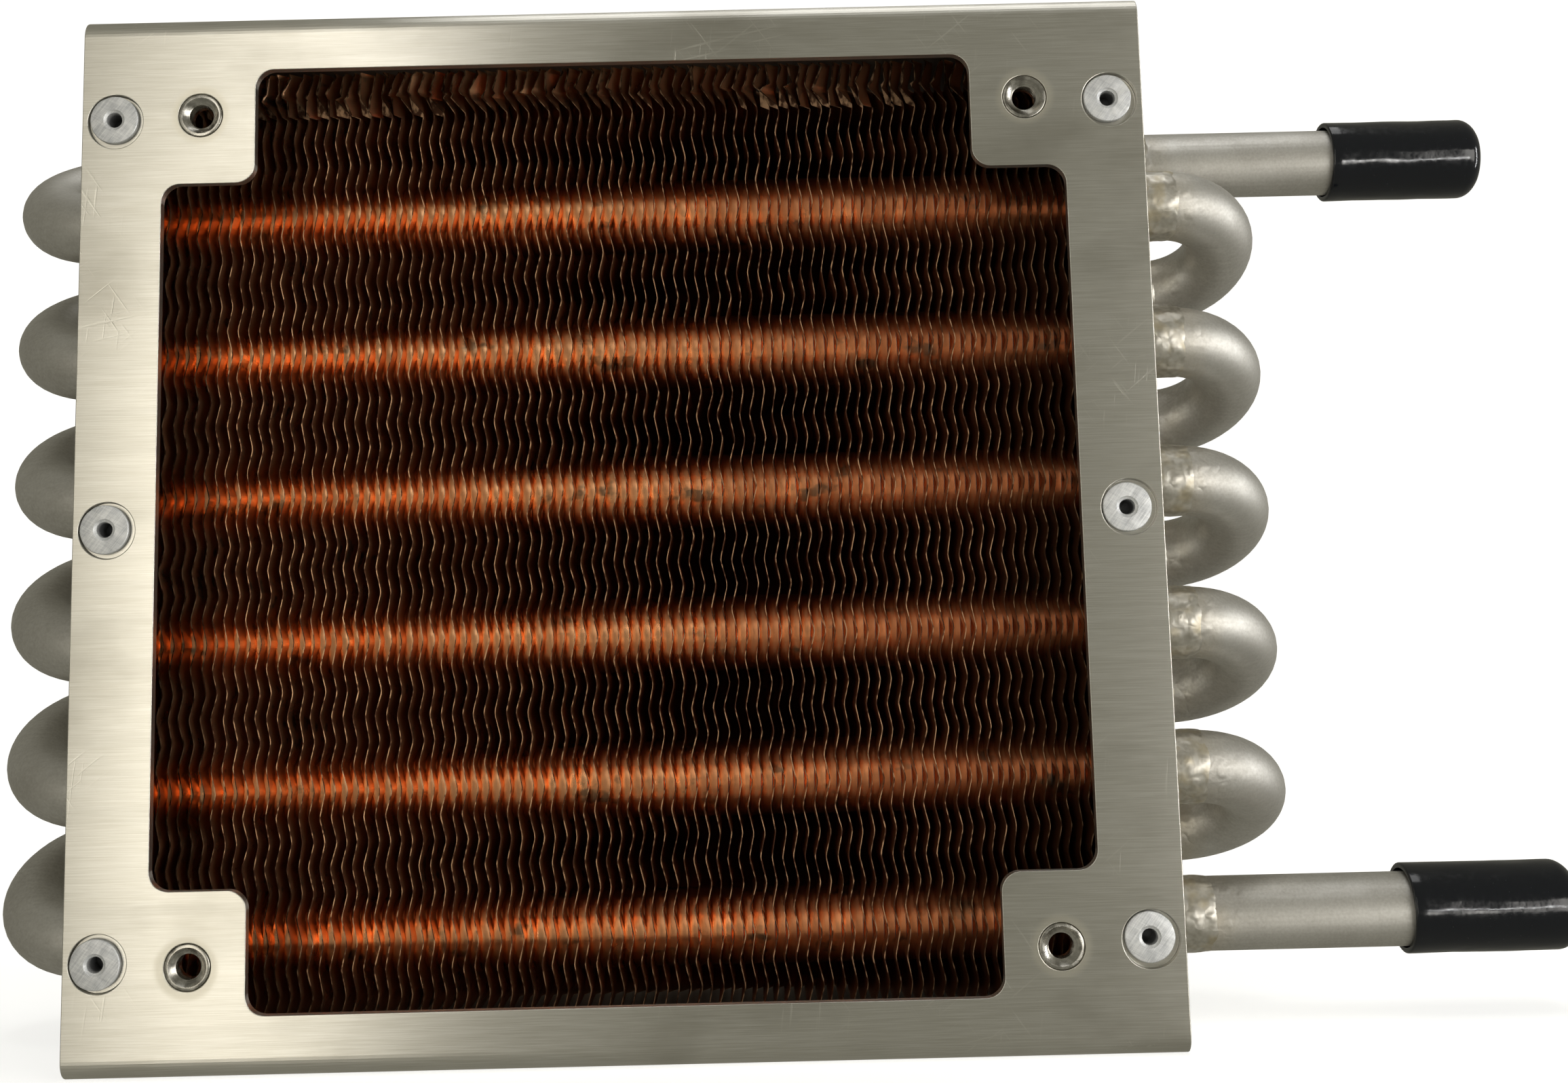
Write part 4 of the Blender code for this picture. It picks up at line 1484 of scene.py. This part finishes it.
@dataclass
class FinPack:
    """Ninety-one rippled copper fins in seven bundles, each fin with a collar round every tube."""

    bundles: int = 7
    fins_per_bundle: int = 13
    pitch: float = 25.4 / 18 * MM
    foil: float = 0.11 * MM
    lip: float = 1.6 * MM  # depth of the front edge that handling bends
    crushed: float = 5.4 * MM  # how far down the top of that edge is folded over
    crushed_ragged: float = 0.8 * MM  # how far the end of that fold wanders up and down
    crushed_turns: float = 9.0  # how fast it wanders, in radians per millimetre
    crumple_size: float = 1.1 * MM
    crumple_height: float = 2.4 * MM
    wave_length: float = 6.35 * MM
    wave_height: float = 0.70 * MM
    crest: float = 0.5 * MM  # half the length over which a crest is rounded
    bow: float = 1.75 * MM  # sideways fold between the tube rows, which no light passes straight through
    hole_radius: float = 4.95 * MM
    collar_inner: float = 4.79 * MM
    collar_outer: float = 4.93 * MM
    collar_flare: float = 0.42 * MM
    sides: int = 28

    def build(self, finish: Material, runs: Sequence[Vector]) -> None:
        """Make the bundles.

        Args:
            finish: Their material.
            runs: A point on the axis of each tube.
        """
        low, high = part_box("fin_bundle_1")
        fin = self.fin(low, high, runs)
        modify(
            fin,
            "ARRAY",
            count=self.fins_per_bundle,
            use_relative_offset=False,
            use_constant_offset=True,
            constant_offset_displace=(self.pitch, 0, 0),
        )
        for i in range(self.bundles):
            node = f"fin_bundle_{i + 1}"
            bundle = copy_of(fin, f"copper_{node}")
            first = middle(node).x - (self.fins_per_bundle - 1) / 2 * self.pitch
            settle(bundle, (first, 0, 0))
            self.disturb(bundle)
            smooth(bundle, 40)
            hand_over(bundle, finish, [node])
        bpy.data.objects.remove(fin)

    def wave(self, z: float, crest_z: float) -> float:
        """Sideways place of the rippled foil at a height."""
        share = abs(((z - crest_z) / self.wave_length + 0.5) % 1 - 0.5) * 2
        return self.wave_height * (0.5 - share)

    def heights(self, low: float, high: float, crest_z: float) -> list[float]:
        """Heights at which the foil is bent, from the bottom up: three round each crest and trough.

        Args:
            low: Bottom of the foil.
            high: Top of the foil.
            crest_z: Height of one crest.

        Returns:
            The heights.
        """
        half = self.wave_length / 2
        start = crest_z - half * math.ceil((crest_z - low) / half)
        found = {low, high}
        for i in range(int((high - start) / half) + 2):
            turn = start + i * half
            found.update(z for z in (turn - self.crest, turn, turn + self.crest) if low < z < high)
        return sorted(found)

    def fin(self, low: Vector, high: Vector, runs: Sequence[Vector]) -> Object:
        """Extrude one rippled fin at x = 0, drill it and add its collars.

        Args:
            low: Lowest corner of the fin pack.
            high: Highest corner of the fin pack.
            runs: A point on the axis of each tube.

        Returns:
            One fin with a collar round every tube.
        """
        crest_z = runs[-1].z
        heights = self.heights(low.z, high.z, crest_z)
        waves = [Vector((self.wave(z, crest_z) * self.eased(z, crest_z), 0, z)) for z in heights]
        front, back = min(run.y for run in runs), max(run.y for run in runs)
        folds = [front + self.hole_radius + 0.2 * MM, (front + back) / 2, back - self.hole_radius - 0.2 * MM]
        lip = low.y + self.lip
        depths = [(0, lip), (0, folds[0]), (self.bow, folds[1]), (0, folds[2]), (0, high.y)]
        start = Vector((waves[0].x, low.y, low.z))
        fin = self.strip("fin_pattern", start, lip, waves[1].z)
        with editing(fin):
            pick(fin, Part.EDGES, lambda co: abs(co.y - lip) < TOUCHING)
            self.extrude_through([Vector((x, y, 0)) for x, y in depths])
            pick(fin, Part.EDGES, lambda co: abs(co.z - waves[1].z) < TOUCHING)
            self.extrude_through([Vector((waves[0].x, 0, waves[1].z)), *waves[2:]])
            bpy.ops.mesh.select_all(action="SELECT")
            bpy.ops.mesh.normals_make_consistent(inside=False)
        modify(fin, "SOLIDIFY", thickness=self.foil, offset=0)
        combine(fin, add_rods("fin_punch", runs, self.hole_radius, 4 * MM, FACING_RIGHT, self.sides))
        return join([fin, *self.collars(runs)], "fin_pattern")

    @staticmethod
    def strip(name: str, corner: Vector, back: float, top: float) -> Object:
        """Add the foil's first rectangle, which faces along X, from its front low corner.

        Args:
            name: Name of the new object.
            corner: Its front low corner.
            back: Place of its back edge along Y.
            top: Height of its top edge.

        Returns:
            The rectangle.
        """
        deselect_all()
        bpy.ops.mesh.primitive_plane_add(size=1, rotation=FACING_RIGHT)
        made = bpy.context.active_object
        made.name = name
        made.location = (corner.x, (corner.y + back) / 2, (corner.z + top) / 2)
        made.scale = (top - corner.z, back - corner.y, 1)
        bpy.ops.object.transform_apply(location=True, rotation=True, scale=True)
        return made

    @staticmethod
    def extrude_through(places: Sequence[Vector]) -> None:
        """Extrude the selected edges along the steps from each place to the next."""
        for last, place in pairwise(places):
            bpy.ops.mesh.extrude_region_move(TRANSFORM_OT_translate={"value": place - last})

    def eased(self, z: float, crest_z: float) -> float:
        """Share of the wave's height that is left where the foil is rounded over a crest.

        Args:
            z: Height of the place.
            crest_z: Height of one crest.

        Returns:
            The share.
        """
        half = self.wave_length / 2
        off = abs(((z - crest_z) / half + 0.5) % 1 - 0.5) * half
        return 0.86 if off < TOUCHING else 1.0

    def collars(self, runs: Sequence[Vector]) -> list[Object]:
        """Turn a flared collar for each tube, as long as the gap to the next fin.

        Args:
            runs: A point on the axis of each tube.

        Returns:
            The collars.
        """
        end = self.pitch - 0.06 * MM
        rings = [
            (self.collar_outer + self.collar_flare, 0.0),
            (self.collar_outer + 0.4 * self.collar_flare, 0.10 * MM),
            (self.collar_outer + 0.08 * self.collar_flare, 0.34 * MM),
            (self.collar_outer, 0.6 * self.pitch),
            (self.collar_outer, end),
            (self.collar_inner, end),
            (self.collar_inner, 0.0),
        ]
        pattern = lathe("collar_pattern", rings, self.sides, bored=True)
        made = []
        for i, run in enumerate(runs):
            collar = copy_of(pattern, f"collar_{i}")
            made.append(settle(collar, run, FACING_RIGHT))
        bpy.data.objects.remove(pattern)
        return made

    def disturb(self, bundle: Object) -> None:
        """Lean and crinkle the foil, each fin a little differently.

        Args:
            bundle: One bundle of fins.
        """
        bpy.ops.object.empty_add()
        guide = bpy.context.active_object
        guide.scale = (0.3, 3.0, 2.0)
        noise = bpy.data.textures.new("handling", "CLOUDS")
        noise.noise_scale = 4 * MM
        noise.noise_depth = 1
        bpy.context.view_layer.update()
        modify(
            bundle,
            "DISPLACE",
            texture=noise,
            texture_coords="OBJECT",
            texture_coords_object=guide,
            strength=0.45 * MM,
            mid_level=0.5,
            direction="X",
        )
        bpy.data.objects.remove(guide)
        self.crumple_tops(bundle)

    def crumple_tops(self, bundle: Object) -> None:
        """Fold over the top of the foil's front edges, raggedly, where the frame was slid over them.

        Args:
            bundle: One bundle of fins.
        """
        top = max(corner[2] for corner in bundle.bound_box) - self.crushed
        front = min(corner[1] for corner in bundle.bound_box) + self.lip / 2

        def fold_end(x: float) -> float:
            """Height at which the fold ends, at a place along X."""
            return top + self.crushed_ragged * math.sin(x / MM * self.crushed_turns)

        bpy.ops.object.vertex_group_add()
        with editing(bundle):
            pick(bundle, Part.POINTS, lambda co: co.z > fold_end(co.x) and co.y < front)
            bpy.ops.object.vertex_group_assign()
        noise = bpy.data.textures.new("crush", "CLOUDS")
        noise.noise_scale = self.crumple_size
        modify(
            bundle,
            "DISPLACE",
            texture=noise,
            texture_coords="GLOBAL",
            strength=self.crumple_height,
            mid_level=1.0,
            direction="X",
            vertex_group=bundle.vertex_groups[0].name,
        )


# ---------------------------------------------------------------- studio


@dataclass
class Softbox:
    """Rectangular lamp that looks at a point."""

    name: str
    place: tuple[float, float, float]
    target: tuple[float, float, float]
    width: float
    height: float
    power: float
    colour: str = "#ffffff"

    def build(self) -> None:
        """Hang the lamp."""
        lamp = bpy.data.lights.new(self.name, "AREA")
        lamp.shape = "RECTANGLE"
        lamp.size, lamp.size_y = self.width, self.height
        lamp.energy = self.power
        lamp.color = linear(self.colour)[:3]
        held = bpy.data.objects.new(self.name, lamp)
        bpy.context.scene.collection.objects.link(held)
        held.location = self.place
        view = Vector(self.target) - Vector(self.place)
        held.rotation_euler = view.to_track_quat("-Z", "Y").to_euler()


@dataclass
class Studio:
    """Pale round floor that sweeps up into a wall, soft lamps and the camera."""

    floor_radius: float = 3.0
    sweep_radius: float = 0.8
    wall_height: float = 4.0
    world_tone: str = "#8b897e"
    world_strength: float = 0.9

    def build(self) -> None:
        """Set the stage, the lamps, the world and the camera."""
        self.paper()
        self.world()
        for lamp in self.lamps():
            lamp.build()
        self.camera()

    def paper(self) -> None:
        """Turn a round floor whose rim sweeps up into a wall."""
        bend = (self.floor_radius - self.sweep_radius, self.sweep_radius)
        sweep = rounding(bend, self.sweep_radius, -90, 0, 12)
        rings = [(0.01, 0.0), *sweep, (self.floor_radius, self.wall_height)]
        paper = lathe("seamless_paper", rings, 96, bored=False)
        smooth(paper, 40)
        paper.data.materials.append(StagePaper("seamless_paper").build())
        # Only the camera sees it, so it neither lights the cooler nor shows in it.
        paper.visible_glossy = paper.visible_diffuse = paper.visible_shadow = False

    def world(self) -> None:
        """Fill the room with an even, slightly warm light."""
        world = bpy.data.worlds.new("studio")
        world.use_nodes = True
        background = world.node_tree.nodes["Background"]
        background.inputs["Color"].default_value = linear(self.world_tone)
        background.inputs["Strength"].default_value = self.world_strength
        bpy.context.scene.world = world

    @staticmethod
    def lamps() -> list[Softbox]:
        """Keys that the plate mirrors, a window and a card for the tubes, and strips that line the caps.

        Returns:
            The lamps.
        """
        return [
            Softbox("tall_key", (-0.325, -1.05, 0.05), (0.0, 0.0, 0.07), 0.16, 0.5, 0.82, "#fff8ea"),
            Softbox("upper_key", (-0.238, -1.05, 0.47), (0.0, 0.0, 0.07), 0.12, 0.30, 0.39, "#fffaf2"),
            Softbox("right_window", (0.80, -0.8, 0.10), (0.06, 0.0, 0.06), 0.7, 0.5, 3.9, "#fffcf6"),
            Softbox("low_card", (0.42, -1.0, -0.12), (0.1, 0.0, 0.03), 0.10, 0.14, 0.36, "#fffcf6"),
            Softbox("overhead", (0.1, 0.0, 1.2), (0.0, 0.0, 0.07), 0.6, 0.6, 2.2, "#ffffff"),
            Softbox("cap_strip", (0.29, -0.45, 0.022), (0.113, -0.014, 0.05), 0.11, 0.012, 0.09, "#ffffff"),
            Softbox("side_strip", (0.9, -0.15, 0.12), (0.12, 0.0, 0.07), 0.03, 0.5, 1.6, "#ffffff"),
        ]

    @staticmethod
    def camera() -> None:
        """Stand the camera a little right of the middle, close in front of the fan plate."""
        lens = bpy.data.cameras.new("camera")
        lens.lens = 43.26
        lens.sensor_width = 36.0
        lens.shift_x = 0.0226
        lens.shift_y = -0.1108
        lens.clip_start = 0.01
        held = bpy.data.objects.new("camera", lens)
        bpy.context.scene.collection.objects.link(held)
        held.location = (15.66 * MM, -257.98 * MM, 52.49 * MM)
        held.rotation_euler = [math.radians(a) for a in (97.681, 1.344, -0.029)]
        bpy.context.scene.camera = held


def main() -> None:
    """Build the looks around the CAD frame."""
    logging.basicConfig(level=logging.INFO, format="%(name)s: %(message)s")
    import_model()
    bpy.context.scene.view_settings.view_transform = "Standard"
    Studio().build()

    folder = SheetFolder()
    tubes = TubeCircuit()
    runs = tubes.runs()
    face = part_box("fan_plate")[0].y
    skin = folder.sheet - 0.1 * MM
    low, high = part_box("fan_plate")
    nut = middle("top_right_clinch_nut")
    front_sheet = BrushedSheet(
        "brushed_aluminium",
        inside_low=(-1, low.y + skin, low.z + skin),
        inside_high=(1, 1, high.z - skin),
        polished=(nut.x, (low.z + high.z) / 2, nut.z - (low.z + high.z) / 2),
    )
    FanPlate(folder).build(front_sheet.build())
    low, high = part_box("left_end_plate")[0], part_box("right_end_plate")[1]
    end_sheet = BrushedSheet(
        "brushed_aluminium_ends",
        quarter_turn=90.0,
        inside_low=(low.x + skin, low.y + skin, -1),
        inside_high=(high.x - skin, high.y - skin, 1),
    ).build()
    for side in Side:
        EndPlate(folder, side).build(end_sheet, runs)
    Rivets().build(FiledAluminium("filed_aluminium", face=face).build(), face)
    Nuts().build(PlatedSteel("zinc_plated_steel").build(), folder, face)
    tubes.build(PickledStainless("pickled_stainless").build())
    Welds().build(PickledWeld("pickled_weld").build(), runs)
    vinyl = DippedVinyl("dipped_vinyl").build()
    for node in ("upper_cap", "lower_cap"):
        Cap(node).build(vinyl)
    front_rows = [run.z for run in runs if run.y < middle("fan_plate").y]
    rows = (front_rows[0], abs(front_rows[0] - front_rows[1]))
    copper = FinCopper("fin_copper", front=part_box("fin_bundle_1")[0].y, rows=rows).build()
    FinPack().build(copper, runs)


if __name__ == "__main__":
    main()
